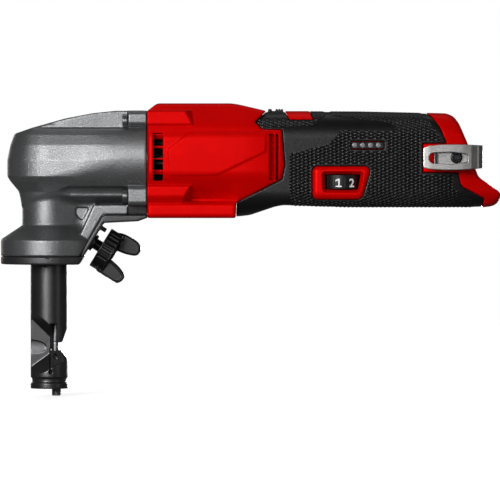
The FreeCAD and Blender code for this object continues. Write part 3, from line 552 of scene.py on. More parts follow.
def base_cover(x, y, z):
    around = np.hypot(x, y)
    disc = turned([(0, 0), (FLANGE_RADIUS, 0), (FLANGE_RADIUS, 4.15), (0, 4.15)], around, z, 0.9)
    band = join_inside(1, outline(COVER_BAND, x, z), np.abs(y) - 16)
    trimmed_disc = soft_max(disc, -join_inside(0.3, 15.6 - x, outline(UNDER_BAND, x, z)), 0.6)
    body = soft_min(trimmed_disc, band, 0.8)
    hole = turned([(0, -3), (10, -3), (10, 0.3), (9.3, 0.3), (9.3, 6), (0, 6)], around, z)
    recess = join_inside(0.3, around - 17, COVER_TOP - z)
    out, up = clamp_frame(x, z)
    bush_hole = rod(up, y, BUSH_RADIUS, out, -6, 4, 0.3)
    pin_hole = rod(up - PIN_UP, y, 1.15, out, -2.2, 3, 0.2)
    body = trim(0.4, body, hole, recess, bush_hole, pin_hole)
    for at_x, at_y, at_z in COVER_SCREWS:
        seat = rod(x - at_x, y - at_y, 3, z, at_z - 2, at_z + 1.9, 0.2)
        shank = rod(x - at_x, y - at_y, 1.7, z, at_z, at_z + 8, 0.2)
        body = trim(0.3, body, seat, shank)
    notch = join_inside(0.2, np.abs(x) - 0.9, slab(z, 3.2, 5), np.abs(around - 25.2) - 0.8)
    return soft_max(body, -notch, 0.2)


build("base_cover_cast", [shaped((-25.2, -25.2, 0), (SEAM, 25.2, 25.8), 0.48, base_cover)], CAST_DARK,
      "base_cover", "cast_metal")

# -------- die holder, punch and die

HOLDER_RADIUS = 9.7
HOLDER_PROFILE = [
    (0, 15.8), (16.65, 15.8), (16.65, 15.3), (12, 7.7), (12, 4.4), (9.2, 4.4), (9.2, 0), (HOLDER_RADIUS, 0),
    (HOLDER_RADIUS, -58.8), (8.9, -59.4), (8.9, -61.3), (HOLDER_RADIUS, -61.8), (HOLDER_RADIUS, -64.7),
    (0, -64.7),
]
# where the milled flat lies along X, and half the thickness of the spine beside it
MILLED_FACE = 0.65
SPINE = 2.3
UPPER_CHAMFER = [(6.7, -40.7), (9.9, -31.8), (12, -31.8), (12, -40.7)]
LOWER_CHAMFER = [(6.2, -44.6), (9.9, -49.6), (12, -49.6), (12, -44.6)]
FACET = [(0.7, -44.4), (9.9, -44.4), (9.9, -49.4), (0.7, -54)]
DIE_X = 3.55
DIE_SCREW_X = 3.7
PUNCH_X = 3.2


def die_holder(x, y, z):
    around, across = np.hypot(x, y), np.abs(y)
    blank = turned(HOLDER_PROFILE, around, z, 0.45)
    # the cutter leaves curved ramps above and below the spine
    lean = np.clip((across - SPINE) / 7.4, 0, 1)
    top = z - (-37.7 - 0.99 * (x - MILLED_FACE) + 5.9 * lean)
    foot = (-46.3 + 0.72 * (x - MILLED_FACE) - 7.9 * lean) - z
    mill = join_inside(0.4, top / 1.6, foot / 1.6, SPINE - across, x - MILLED_FACE)
    blank = soft_max(blank, -mill, 0.3)
    # a shallow lobe at the spine's open edge, deepest along its upper rim
    lobe = (np.hypot((z + 43.2) / 3.8, (x + HOLDER_RADIUS) / 8.2) - 1) * 3.5
    dish = SPINE - 0.65 + 0.022 * (z + 41) ** 2
    blank = soft_max(blank, -join_inside(0.15, lobe, dish - across), 0.15)
    # on the far side, the throat and the window leave a wall behind the punch
    edge = MILLED_FACE + 1.9 * (y > 0.4)
    throat = join_inside(0.2, edge - x, slab(z, -44.85, -40.55))
    window = join_inside(0.2, slab(x, edge, 4.1), slab(z, -41, -30.9))
    facet = join_inside(0.3, outline(FACET, x, z), 9.25 - 0.42 * x - across)
    slit = join_inside(0.05, slab(x, 0.4, 1.05), slab(z, -55.9, -44), 0.8 - across)
    eye = join_inside(0.1, np.hypot(x - 0.85, z + 55.9) - 0.95, 2 - across)
    peep = join_inside(0.3, np.hypot(x - 3.3, (z + 48) * 0.55) - 0.85, 3 + y)
    bore = join_inside(0.2, around - 5.68, -29.6 - z)
    pin_bore = rod(x - 3.5, y, 1.9, z, -46, -20, 0.2)
    die_seat = rod(x - DIE_X, y, 2.65, z, -53, -43.5, 0.2)
    screw_seat = rod(x - DIE_SCREW_X, y, 2.55, z, -70, -52, 0.2)
    return trim(0.15, blank, throat, window, outline(UPPER_CHAMFER, x, z), outline(LOWER_CHAMFER, x, z),
                facet, slit, eye, peep, bore, pin_bore, die_seat, screw_seat)


def punch(x, y, z):
    around = np.hypot(x, y)
    body = turned([(0, -26.5), (5.6, -26.5), (5.6, 14.5), (3, 14.5), (3, 23.1), (5.2, 23.1),
                   (5.2, 26.3), (0, 26.3)], around, z, 0.3)
    pin = rod(x - PUNCH_X, y, 1.58, z, -47.5, -25, 0.15)
    waist = np.hypot(np.hypot(x - PUNCH_X, y) - 1.95, (z + 40.6) * 0.8) - 0.5
    return soft_max(soft_min(body, pin, 0.6), -waist, 0.2)


def die_insert(x, y, z):
    ring = rod(x - DIE_X, y, 2.63, z, -52.4, -44.9, 0.2)
    return soft_max(ring, 1.88 - np.hypot(x - 3.4, y), 0.12)


def die_screw(x, y, z):
    x = x - DIE_SCREW_X
    thread = 0.13 * np.cos(2 * np.pi * z / 0.8 - np.arctan2(y, x))
    body = soft_max(np.hypot(x, y) - 2.35 - thread, slab(z, -68.4, -53), 0.5)
    hexagon = np.maximum(np.abs(y), np.abs(x) * 0.866 + np.abs(y) * 0.5) - 1.25
    return soft_max(body, -np.maximum(hexagon, z + 66.4), 0.15)


build("die_holder_milled", [shaped((-16.7, -16.7, -64.7), (16.7, 16.7, 15.8), 0.34, die_holder)],
      BLACK_STEEL, "die_holder", "black_steel", "die_holder")
build("punch_ground", [shaped((-5.6, -5.6, -47.5), (5.6, 5.6, 26.3), 0.3, punch)], BRIGHT_STEEL,
      "punch", "bright_steel", "punch")
build("die_insert_ground", [shaped((0.8, -2.8, -52.4), (6.3, 2.8, -44.9), 0.16, die_insert)],
      BRIGHT_STEEL, "die_insert", "bright_steel", "die_holder")
build("die_screw_thread", [shaped((1, -2.6, -68.5), (6.4, 2.6, -53), 0.14, die_screw)],
      PLAIN_STEEL, "die_screw", "black_steel", "die_holder")

# -------- fasteners

# how a screw is turned, by the way its head faces
FACING = {
    "-X": ((0, 0, -1), (0, 1, 0), (1, 0, 0)),
    "-Y": ((1, 0, 0), (0, 0, -1), (0, 1, 0)),
    "+Y": ((1, 0, 0), (0, 0, 1), (0, -1, 0)),
    "-Z": ((1, 0, 0), (0, -1, 0), (0, 0, -1)),
}


def fastener(head_radius, head_height, shank_radius, length, socket_radius, step=0.28):
    """A pan-head screw with a six-lobed socket: the top of its head is the origin, facing +Z."""
    def form(x, y, z):
        around, angle = np.hypot(x, y), np.arctan2(y, x)
        dome = z + 0.05 * around * around / head_radius
        head = join_inside(0.5, around - head_radius, -head_height - z, dome)
        thread = 0.12 * np.cos(2 * np.pi * z + angle)
        shank = join_inside(0.3, around - shank_radius + 0.1 - thread, slab(z, -head_height - length, -1))
        lobes = around - socket_radius * (1 + 0.16 * np.cos(6 * angle))
        socket = join_inside(0.15, lobes, -0.65 * head_height - z)
        return soft_max(soft_min(head, shank, 0.3), -socket, 0.2)
    low = (-head_radius, -head_radius, -head_height - length)
    return shaped(low, (head_radius, head_radius, 0), step, form)


HOUSING_SCREWS = [(64, 28.3), (92, 28.3), (64, 80.6), (92, 80.6), (169, 36), (169, 75.8)]
CLIP_SCREW = (211, 55.6)
# name, CAD node, finish, the way the heads face, their places, and the sizes of one screw
SCREW_SETS = [
    ("gear_case_screw_set", "gear_case_screws", PLAIN_STEEL, "-X",
     [(38.2, side * BOSS_Y, height) for height in CASE_SCREW_Z for side in (1, -1)],
     (3.42, 3, 2, 20, 1.7)),
    ("base_cover_screw_set", "base_cover_screws", BLACK_SCREW, "-Z",
     [(at_x, at_y, at_z + 0.2) for at_x, at_y, at_z in COVER_SCREWS], (2.75, 1.7, 1.6, 8, 1.35, 0.24)),
    ("housing_screw_set", "housing_screws", BLACK_SCREW, "+Y",
     [(at_x, 18.5, at_z) for at_x, at_z in HOUSING_SCREWS], (2.7, 2.5, 1.5, 27.5, 1.35)),
    ("belt_clip_screw_black", "belt_clip_screw", BLACK_SCREW, "-Y",
     [(CLIP_SCREW[0], -28.65, CLIP_SCREW[1])], (3.08, 1.9, 1.88, 7, 1.55, 0.2)),
]
for set_name, screw_node, finish, facing, heads, sizes in SCREW_SETS:
    screw = fastener(*sizes)
    build(set_name, [turn_part(screw, FACING[facing], at) for at in heads], finish, screw_node, "black_steel")

# -------- clamp across the strut

# local x runs up the strut's face, local y towards the near side, local z out of the face
CLAMP_TURN = np.stack([CLAMP_UP, (0, -1, 0), CLAMP_OUT], 1)
WING = [(2, 9), (10.6, 7.4), (12.3, 12), (12.5, 19.5), (11.3, 22.4), (8.8, 23.8), (5.6, 23.5),
        (3.4, 18)]
RIB_COUNT = 24


def clamp_piece(name, low, high, step, form, *place):
    """One piece of the clamp; place is its material, node and slot, and its body where it turns."""
    build(name, [turn_part(shaped(low, high, step, form), CLAMP_TURN, CLAMP_AT)], *place)


def clamp_bush(x, y, z):
    around = np.hypot(x, y)
    return join_inside(0.5, around - 4.45, 3.05 - around, slab(z, -5, 1.5))


def clamp_stud(x, y, z):
    thread = 0.14 * np.cos(2 * np.pi * z - np.arctan2(y, x))
    return join_inside(0.5, np.hypot(x, y) - 2.84 - thread, slab(z, -4.9, 11.2))


def clamp_knob(x, y, z):
    """A ribbed collar with two dished wings, one on each side, that point opposite ways."""
    around, angle = np.hypot(x, y), np.arctan2(y, x)
    toward = np.where(y > 0, -x, x)
    plain = np.clip(toward - 4.2, 0, 1)
    ridge = np.clip(0.5 + 0.9 * np.cos(RIB_COUNT * angle), 0, 1) * (1 - plain)
    ribbed = around - 10.55 - 0.6 * ridge - 0.25 * plain
    collar = join_inside(0.6, ribbed, slab(z, 4.8, 12))
    rims = join_inside(0.4, around - 11.2, np.minimum(slab(z, 4.8, 5.7), slab(z, 11.3, 12)))
    collar = soft_min(collar, rims, 0.2)
    wing_edge = outline(WING, toward, z, 2.6)
    wing = join_inside(1.2, wing_edge, slab(np.abs(y), 2.6, 6.35))
    dish = join_inside(0.5, wing_edge + 1.3, 5.75 - np.abs(y), 8.6 - z)
    body = soft_min(collar, soft_max(wing, -dish, 0.4), 0.8)
    body = soft_min(body, rod(x, y, 6.2, z, 11.5, 13.2, 0.6), 0.5)
    stud_hole = join_inside(0.2, around - 3.02, slab(z, 4, 11.2))
    dish_under = join_inside(0.6, around - 9, 4.3 - around, slab(z, 4, 6))
    return trim(0.3, body, stud_hole, dish_under)


def stop_pin(x, y, z):
    return rod(x - PIN_UP, y, 1.14, z, -2, 2.85, 0.5)


clamp_piece("clamp_bush_turned", (-4.5, -4.5, -5), (4.5, 4.5, 1.5), 0.24, clamp_bush, BLACK_STEEL,
            "clamp_bush", "black_steel")
clamp_piece("clamp_stud_threaded", (-3, -3, -4.9), (3, 3, 11.2), 0.17, clamp_stud, BLACK_STEEL,
            "clamp_stud", "black_steel", "clamp_screw")
clamp_piece("clamp_knob_moulded", (-11.25, -11.25, 4.8), (11.9, 11.25, 23.5), 0.26, clamp_knob,
            KNOB_PLASTIC, "clamp_knob", "black_plastic", "clamp_screw")
clamp_piece("stop_pin_turned", (7.5, -1.2, -2), (9.9, 1.2, 2.9), 0.12, stop_pin, BLACK_STEEL,
            "stop_pin", "black_steel")

# -------- motor housing

HOUSING_FLOOR = 23.75
# where the red shell ends and the rubber starts, from the bottom up
SHELL_EDGE = [(97.3, 32.2), (120.9, 44.4), (122.3, 51.3), (120.9, 69.8), (110.8, 70.1), (106.9, 73.8),
              (113, 79.6)]
MOTOR_SIDE = [(HOUSING_START, HOUSING_FLOOR), (HOUSING_START, 79.6), (56.6, 83.95), (94.5, 83.95)]
MOTOR_SIDE += SHELL_EDGE[::-1] + [(97.1, HOUSING_FLOOR)]
MOTOR_SECTION = [
    (0, 83.95), (12, 83.95), (15, 82.9), (24.4, 71.7), (26.6, 66), (26.95, 58), (26.95, 47.6),
    (26, 44.4), (21.4, 35), (20.9, 32.3), (24.2, 31.6), (24.4, 25.4), (22.6, HOUSING_FLOOR),
    (0, HOUSING_FLOOR),
]
LOWER_BOSS = [(13, 30.4), (22, 30.4), (25.4, 35.2), (25.4, 41.2), (13, 41.2)]
FACET_PANEL = [(72.7, 68.8), (113.5, 68.8), (113, 58.2), (87.5, 46), (62.6, 45.4), (61.2, 59.8)]
GRIP_SIDE = [
    (96, HOUSING_FLOOR), (97.1, HOUSING_FLOOR), (104.4, 25), (110.6, 27.3), (117.4, 29.6), (121.5, 30.4),
    (154.7, 29.45), (230.7, 29.45), (233, 31.6), (234.65, 36.2), (234.3, 39.3), (229.8, 41.8),
    (223, 45.2), (221.2, 49.5), (216.9, 63.3), (212.6, 73.2), (210, 76.7), (206.5, 78.6),
    (194.2, 78.9), (160.4, 80.1), (137.7, 80.25), (96, 80.25),
]
RUBBER_ZONE = [(97.1, 23)] + SHELL_EDGE + [
    (113, 86), (194, 86), (195.3, 79), (198.8, 76.2), (202.7, 71.1), (206.1, 62.9), (212.1, 47.3),
    (213.4, 41.8), (214.7, 40.2), (225.7, 34.4), (223.8, 26), (97.1, 22),
]
DIAL_FRAME = [(138.3, 51), (164.9, 51), (166.3, 49.4), (166.3, 47.2), (162.7, 35.4), (160.8, 33.8),
              (138.4, 33.8), (136.7, 35.4), (136.6, 49.2)]
DIAL_WINDOW = [(143.4, 38.9), (160.2, 38.9), (161.7, 46.8), (143.1, 46.8)]
GAUGE_FRAME = [(156.7, 59.7), (173.9, 59.7), (173.9, 64), (156.7, 64)]
# two corners and the radius of the edges, for the slider's well and the rooms inside
SLIDER_WELL = ((109.8, -7.5, 72), (122.1, 7.5, 90), 0.4)
ROOMS = [((95, -18, 34), (166, 18, 74), 2), ((160, -14, 40), (175, 14, 70), 1),
         ((172, -17, 36), (250, 17, 74), 7), SLIDER_WELL]
BADGE = [(121.2, 82), (124.7, 75), (137.2, 75), (134.2, 82)]
LENS_X = [158.5 + 4.07 * i for i in range(4)]
LENS_Z = 61.9
# the rubber's thickness, and how far each shell stays from the middle plane
SKIN = 2.2
HALF_GAP = 0.01
# the front vents: how high they are, and how far apart and how deep their ribs lie
VENT = (43.5, 68)
RIB_PITCH = 6.2
RIB_DEPTH = 22.4
GRIP_HALF_WIDTH = 23.15
GRIP_CORNER = 15


def lens_distance(x, z):
    return np.minimum.reduce([np.hypot(x - lens_x, z - LENS_Z) for lens_x in LENS_X])


def half_box(side, start, end, half_width, floor, top):
    """The box of a housing half or of its skin, which lie on one side of the middle plane."""
    return (start, min(0, side * half_width), floor), (end, max(0, side * half_width), top)


def grip_form(x, y, z):
    narrower = 8 * np.clip((x - 197) / 38, 0, 1) ** 2
    section = flat_block(y, z, (-GRIP_HALF_WIDTH, 23.4), (GRIP_HALF_WIDTH, 80.25), GRIP_CORNER) + narrower
    return soft_max(outline(GRIP_SIDE, x, z, 1.5), section, 3)


def motor_form(x, y, z):
    across = np.abs(y)
    taper = 2.2 * np.clip((x - 100) / 22, 0, 1) ** 2
    undercut = 7 * np.clip((46 - z) / 12, 0, 1) ** 2 * (z > 32.8) * np.clip((98 - x) / 14, 0, 1)
    section = outline(mirrored(MOTOR_SECTION), y, z, 1.4) + taper + undercut
    body = soft_max(outline(MOTOR_SIDE, x, z, 1.2), section, 1.6)
    panel = step_up(outline(FACET_PANEL, x, z, 1), 1.1)
    body = body + 0.5 * (1 - panel) * np.clip((across - 22) / 3, 0, 1)
    upper = join_inside(0.5, flat_block(across, z, (13.5, 72.1), (24.9, 79.9), 1.2),
                        x - 70.7 - (79.9 - z) * 0.52 + (across - 24.9) * 0.5, HOUSING_START - x)
    lower = join_inside(0.5, outline(LOWER_BOSS, across, z, 1.2),
                        x - 68.3 - (z - 31.5) * 0.55 + (across - 25.4) * 0.4, HOUSING_START - x)
    return soft_max(join(0.5, body, upper, lower), HOUSING_START - x, 0.5)


def slots(x, y, z):
    """The vents: tall openings, with recessed ribs across the front ones; the rear ones are blind."""
    across = np.abs(y)
    from_rib = np.abs((z - 0.9 * (across - 23) - 52.5) % RIB_PITCH - RIB_PITCH / 2)
    ribs = np.maximum(from_rib - 0.5, across - RIB_DEPTH)
    front = soft_max(join_inside(0.3, slab(x, 54.4, 59.4), slab(z, *VENT), 14 - across), -ribs, 0.3)
    rear = join_inside(0.3, np.minimum(slab(x, 114.4, 116.9), slab(x, 117.8, 119)),
                       slab(z, 43.9, 67.8), 18.8 - across)
    return np.minimum(front, rear)


def bays(x, y, z):
    """Room inside the housing for the motor, the boards, the battery's stem and the slider."""
    motor = rod(y, z - MOTOR_Z, 22, x, 50, 96, 0.5)
    return np.minimum.reduce([motor] + [rounded_block(x, y, z, *room) for room in ROOMS])


def housing_half(side):
    """One shell, with side -1 for the near one, which holds the dial, the gauge and the belt clip."""
    def form(x, y, z):
        grip = grip_form(x, y, z)
        zone = outline(RUBBER_ZONE, x, z)
        sheath = np.maximum(grip + SKIN + 0.05, x - 228)
        collar = soft_max(grip, -zone + 0.08, 0.6)
        body = join(0.3, motor_form(x, y, z), sheath, np.maximum(collar, 190 - x))
        if side < 0:
            boss = rounded_block(x, y, z, (193.9, -25.5, 47.9), (219, -18, 62.6), 0.7)
            body = soft_min(body, np.maximum(boss, outline(GRIP_SIDE, x, z) + 1), 0.5)
            window = join_inside(0.3, slab(x, 141.8, 162.2), slab(z, 37.6, 47.4), slab(y, -25, -17))
            gauge = join_inside(0.2, slab(x, 155.2, 174.2), slab(z, 57, 66.6), slab(y, -19.2, -17))
            body = trim(0.2, body, window, gauge)
            body = np.maximum(body, -np.maximum(lens_distance(x, z) - 1.35, slab(y, -25, -16)))
        body = trim(0.35, body, slots(x, y, z), bays(x, y, z))
        for at_x, at_z in HOUSING_SCREWS:
            across, height = x - at_x, z - at_z
            hole = np.minimum(drill(across, height, 1.6, y, -14, 30), drill(across, height, 3, y, 16, 30))
            body = soft_max(body, -hole, 0.3)
        for height in CASE_SCREW_Z:
            body = np.maximum(body, -drill(np.abs(y) - BOSS_Y, z - height, 2.1, x, 50, 62))
        return soft_max(body, HALF_GAP - side * y, 0.35)
    # where the rubber hides the shell, the grid is coarser
    return shaped(*half_box(side, SEAM, 234.7, 27, 23.7, 84), 0.5, form, (125, 190, 1.1))


build("motor_housing_near_half", [housing_half(-1)], RED, "motor_housing_left", "red_plastic")
build("motor_housing_far_half", [housing_half(1)], RED, "motor_housing_right", "red_plastic")

# -------- rubber grip

TEXTURED = [(124.6, 57.2), (145, 62.3), (151.7, 69.7), (180.3, 69.2), (177.7, 73.3), (145.6, 77),
            (146.5, 86), (188.5, 86), (193, 78.6), (196.6, 75.2), (201.8, 67), (205.5, 57),
            (208.7, 47.5), (210, 39.8), (221, 32.6), (219, 24), (126.5, 24), (124.6, 44)]
SLIDER_PATCH = [(106.9, 74.1), (110.3, 70.9), (136.6, 71.9), (143.4, 77), (141, 86), (112, 86)]
# one lozenge's length and height, how deep the rubber lies between lozenges, and in the smooth bands
LOZENGE = (4.2, 1.62)
LOZENGE_DEPTH = 0.68
BAND_DEPTH = 0.4
# the lozenges flatten out towards the grip's top and bottom
FLATTEST_AT = 28
FLATTENING = 7
LEAST_SHARE = 0.2
GRIP_SCREWS = HOUSING_SCREWS[4:]
GRIP_MIDDLE = 51.8
FLAT_WIDTH = GRIP_HALF_WIDTH - GRIP_CORNER
FLAT_HEIGHT = 28.4 - GRIP_CORNER


def around_section(y, z):
    """Distance along the grip's rounded section, so that the lozenges keep their size over its corners."""
    across, height = np.abs(y), z - GRIP_MIDDLE
    a, b = across - FLAT_WIDTH, np.abs(height) - FLAT_HEIGHT
    corner = FLAT_HEIGHT + GRIP_CORNER * np.arctan2(np.maximum(b, 0), np.maximum(a, 1e-3))
    top = FLAT_HEIGHT + GRIP_CORNER * math.pi / 2 + FLAT_WIDTH - across
    run = np.where(b <= 0, np.abs(height), np.where(a > 0, corner, top))
    return np.sign(height) * run


def overmould_half(side):
    """The rubber over one shell: lozenges where it is textured, and smooth bands round them."""
    def form(x, y, z):
        grip = grip_form(x, y, z)
        zone = outline(RUBBER_ZONE, x, z)
        run = around_section(y, z)
        waves = np.cos(2 * math.pi * x / LOZENGE[0]) * np.cos(2 * math.pi * run / LOZENGE[1])
        patch = np.minimum(outline(TEXTURED, x, z, 1), outline(SLIDER_PATCH, x, z, 1))
        if side < 0:
            fittings = np.minimum(outline(DIAL_FRAME, x, z), outline(GAUGE_FRAME, x, z))
            patch = np.maximum(patch, 0.9 - fittings)
            patch = np.maximum(patch, 1.2 - np.maximum(slab(x, 193.8, 219.5), slab(z, 47.8, 62.7)))
        # smooth round the slider
        patch = np.maximum(patch, 0.8 - np.maximum(slab(x, 109, 122.5), 77.4 - z))
        textured = np.clip(-patch / 0.5, 0, 1)
        crowns = (0.5 + 0.5 * waves) ** 1.5
        depth = LOZENGE_DEPTH * np.clip((FLATTEST_AT - np.abs(z - GRIP_MIDDLE)) / FLATTENING, LEAST_SHARE, 1)
        outer = grip + depth * (1 - crowns) * textured + BAND_DEPTH * (1 - textured)
        if side > 0:
            for at_x, at_z in GRIP_SCREWS:
                pad = join_inside(0.8, np.hypot(x - at_x, z - at_z) - 4.4, slab(y, 8, 21.6), z - 78.3)
                outer = soft_min(outer, pad, 1.2)
        body = trim(0.2, join_inside(0.7, outer, zone + 0.12), grip + SKIN, motor_form(x, y, z) - 0.1)
        body = trim(0.4, body, rounded_block(x, y, z, *SLIDER_WELL), outline(BADGE, x, z) - 0.08)
        if side < 0:
            clip_boss = np.maximum(slab(x, 193.7, 219.4), slab(z, 47.7, 62.8))
            body = trim(0.5, body, outline(DIAL_FRAME, x, z, 0.8) - 0.05, outline(GAUGE_FRAME, x, z, 0.8),
                        clip_boss)
        for at_x, at_z in GRIP_SCREWS:
            body = soft_max(body, -drill(x - at_x, z - at_z, 2.85, y, 18, 30), 0.4)
        return soft_max(body, HALF_GAP - side * y, 0.35)
    return shaped(*half_box(side, 97.1, 225.7, 23.2, 23.7, 80.3), (0.54, 0.36, 0.36), form)


build("grip_overmould_near_half", [overmould_half(-1)], RUBBER, "grip_overmould_left", "grip_rubber")
build("grip_overmould_far_half", [overmould_half(1)], RUBBER, "grip_overmould_right", "grip_rubber")


def badge(x, y, z):
    grip = grip_form(x, y, z)
    return join_inside(0.5, grip - 0.02, -(grip + 2.1), outline(BADGE, x, z, 0.8) + 0.1)


def dial_bezel(x, y, z):
    frame_edge = outline(DIAL_FRAME, x, z, 1.2) + 0.08
    grip = grip_form(x, y, z)
    rolled = np.clip(1 + frame_edge / 2.6, 0, 1) ** 2
    raised = join_inside(0.5, grip - 0.5 + 1.3 * rolled, frame_edge, y + 19.9)
    # the window's flanks slope inwards
    opening = outline(DIAL_WINDOW, x, z, 0.6)
    flank = opening - 1.5 * np.clip((-y - 20.6) / 2.8, 0, 1)
    return soft_max(raised, -flank, 0.35)


def gauge_frame(x, y, z):
    edge = outline(GAUGE_FRAME, x, z, 0.9)
    plate = join_inside(0.4, grip_form(x, y, z) + 0.1, y + 20.2, edge + 0.1)
    return soft_max(plate, -join_inside(0.2, edge + 0.5, y + 22), 0.2)


def gauge_window(x, y, z):
    window = join_inside(0.15, outline(GAUGE_FRAME, x, z, 0.7) + 0.54, slab(y, -22.8, -20.3))
    return soft_max(window, 1.4 - lens_distance(x, z), 0.1)


def gauge_lenses(x, y, z):
    nearest = lens_distance(x, z)
    dome = -23.15 - y + 0.10 * nearest * nearest
    return join_inside(0.3, nearest - 1.36, dome, y + 19.1)


build("badge_inlay", [shaped((120.5, -23.2, 75), (137.4, 23.2, 80.3), 0.36, badge)], RED_INLAY,
      "badge", "red_inlay")
build("dial_bezel_moulded", [shaped((136.6, -23.7, 33.8), (166.3, -20, 51), 0.26, dial_bezel)], RED_INLAY,
      "dial_bezel", "red_plastic")
build("gauge_frame_moulded", [shaped((156.7, -23.2, 59.7), (173.9, -20.2, 64), 0.2, gauge_frame)],
      DARK_RED, "gauge_frame", "red_plastic")
build("gauge_window_smoked", [shaped((157.2, -22.8, 60.2), (173.4, -20.3, 63.5), 0.2, gauge_window)],
      BLACK_PLASTIC, "gauge_frame", "red_plastic")
build("gauge_lens_set", [shaped((157.2, -23.2, 60.6), (172, -19.1, 63.2), 0.16, gauge_lenses)], LENS,
      "gauge_lenses", "grey_lens")

# -------- dial, slider and belt clip

DIAL_AT = (152.05, -12.6)
DRUM_RADIUS = 10.8
# the printing lies just clear of the drum and its dividers
PRINT_RADIUS = 10.98
PRINT_WRAP = 11
DIAL_PITCH = math.radians(36)
DIAL_COUNT = 8
DIGIT_MIDDLE = 42.4
DIGIT_HEIGHT = 4.4
# the figure one is drawn here, as three strokes: its foot, stem and flag
ONE_STROKES = [(-1.6, 0), (1.6, 0), (1.6, 0.7), (-1.6, 0.7), (-0.4, 0.7), (0.45, 0.7), (0.45, DIGIT_HEIGHT),
               (-0.4, DIGIT_HEIGHT), (-1.7, 2.9), (-0.4, 3.5), (-0.4, DIGIT_HEIGHT), (-1.7, 3.7)]


def dial_angle(count):
    """Where a number stands on the drum, from the drum's nearest point towards +X."""
    return DIAL_PITCH * (count - 1.25)


def speed_dial(x, y, z):
    u, v = x - DIAL_AT[0], y - DIAL_AT[1]
    around, angle = np.hypot(u, v), np.arctan2(u, -v)
    phase = (angle - dial_angle(0.5)) / DIAL_PITCH
    divider = np.clip(1 - np.abs(phase - np.round(phase)) * 22, 0, 1) * (slab(z, 40.2, 45.5) < 0)
    drum = join_inside(0.5, around - DRUM_RADIUS - 0.12 * divider, slab(z, 39.1, 46.6))
    return soft_max(drum, 1.6 - around, 0.2)


def typed_digit(count):
    """A figure in Blender's built-in type, scaled and centred on its middle."""
    curve = bpy.data.curves.new(f"number_{count}", "FONT")
    curve.body = str(count)
    curve.offset = 0.02
    holder = placed_object(f"number_{count}", curve)
    bpy.context.view_layer.update()
    mesh = bpy.data.meshes.new_from_object(holder)
    bpy.data.objects.remove(holder)
    spots = np.zeros(len(mesh.vertices) * 3)
    mesh.vertices.foreach_get("co", spots)
    spots = spots.reshape(-1, 3)[:, :2]
    low, high = spots.min(0), spots.max(0)
    return mesh, (spots - (low + high) / 2) * (DIGIT_HEIGHT / (high[1] - low[1]))


def stroked_one():
    mesh = bpy.data.meshes.new("number_1_strokes")
    faces = [range(first, first + 4) for first in (0, 4, 8)]
    mesh.from_pydata([(u, v, 0) for u, v in ONE_STROKES], [], faces)
    return mesh, np.array(ONE_STROKES) - (0, DIGIT_HEIGHT / 2)


def digit_on_drum(count):
    """A number printed on the drum: its outline is bent round the cylinder."""
    mesh, spots = stroked_one() if count == 1 else typed_digit(count)
    angle = dial_angle(count) + spots[:, 0] / PRINT_WRAP
    placed = np.stack([DIAL_AT[0] + PRINT_RADIUS * np.sin(angle), DIAL_AT[1] - PRINT_RADIUS * np.cos(angle),
                       DIGIT_MIDDLE + spots[:, 1]], 1)
    mesh.vertices.foreach_set("co", (placed * MM).ravel())
    mesh.materials.append(WHITE_PRINT)
    mesh.update()
    obj = placed_object(f"dial_number_{count}", mesh)
    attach(obj, "speed_dial")


build("speed_dial_drum", [shaped((141, -23.6, 39.1), (163.1, -1.6, 46.6), 0.24, speed_dial)],
      BLACK_PLASTIC, "speed_dial", "black_plastic", "speed_dial")
for number_shown in range(1, DIAL_COUNT + 1):
    digit_on_drum(number_shown)


def switch_slider(x, y, z):
    body = rounded_block(x, y, z, (113.8, -7, 76.8), (121.6, 7, 79.6), 0.5)
    for start, width in ((113.8, 1.9), (117.7, 1.1), (119.1, 1.1), (120.5, 1.1)):
        ridge = rounded_block(x, y, z, (start, -6.9, 78.5), (start + width, 6.9, 80.6), 0.35)
        body = soft_min(body, ridge, 0.4)
    stem = rounded_block(x, y, z, (116, -2, 67), (119.2, 2, 78), 0.3)
    return soft_min(body, stem, 0.5)


CLIP_BEND = [(214, -34.6), (219, -34.3), (222.2, -33.4), (224.1, -31.7), (224.58, -30.1), (224.2, -27.2),
             (222.6, -26.4), (220, -25.53), (199.6, -25.53), (199.2, -28.4), (200.2, -28.6),
             (200.9, -26.7), (219.6, -26.7), (221.8, -27.6), (223.2, -28.2), (223.4, -30.1),
             (223, -31.4), (221.3, -32.6), (218.6, -33.4), (207, -33.3), (198, -32.6),
             (193.7, -33.2), (193.45, -34.35), (197, -34.6), (207, -34.68)]
CLIP_LEAF = [(193.4, 50.6), (196, 49.6), (203, 49.1), (210, 49.02), (218, 49.4), (225, 50.1), (225, 61.8),
             (218, 62.2), (210, 62.38), (203, 62.3), (196, 61.5), (193.4, 60.3)]
CLIP_SLOT = [(196.7, 54), (198.5, 52.6), (209, 52.1), (216.9, 53.4), (216.9, 57.2), (209, 58.3),
             (198.5, 58), (196.7, 56.8)]


def belt_clip(x, y, z):
    strip = join_inside(0.3, outline(CLIP_BEND, x, y, 0.8), outline(CLIP_LEAF, x, z, 0.8))
    slot = join_inside(0.2, outline(CLIP_SLOT, x, z, 1), y + 31)
    return trim(0.3, strip, slot, drill(x - CLIP_SCREW[0], z - CLIP_SCREW[1], 2, y, -28, -24))


build("switch_slider_ribbed", [shaped((113.8, -7, 67), (121.6, 7, 80.6), 0.24, switch_slider)],
      BLACK_PLASTIC, "switch_slider", "black_plastic", "switch_slider")
build("belt_clip_spring", [shaped((193.4, -34.7, 49), (224.6, -25.5, 62.4), 0.24, belt_clip)], SPRING_STEEL,
      "belt_clip", "spring_steel")


# -------- light, floor and camera

WHITE = (1, 1, 1, 1)
# how bright the surroundings are as light, and as the backdrop that the camera sees
SKY_LIGHT = 0.09
BACKDROP = 1
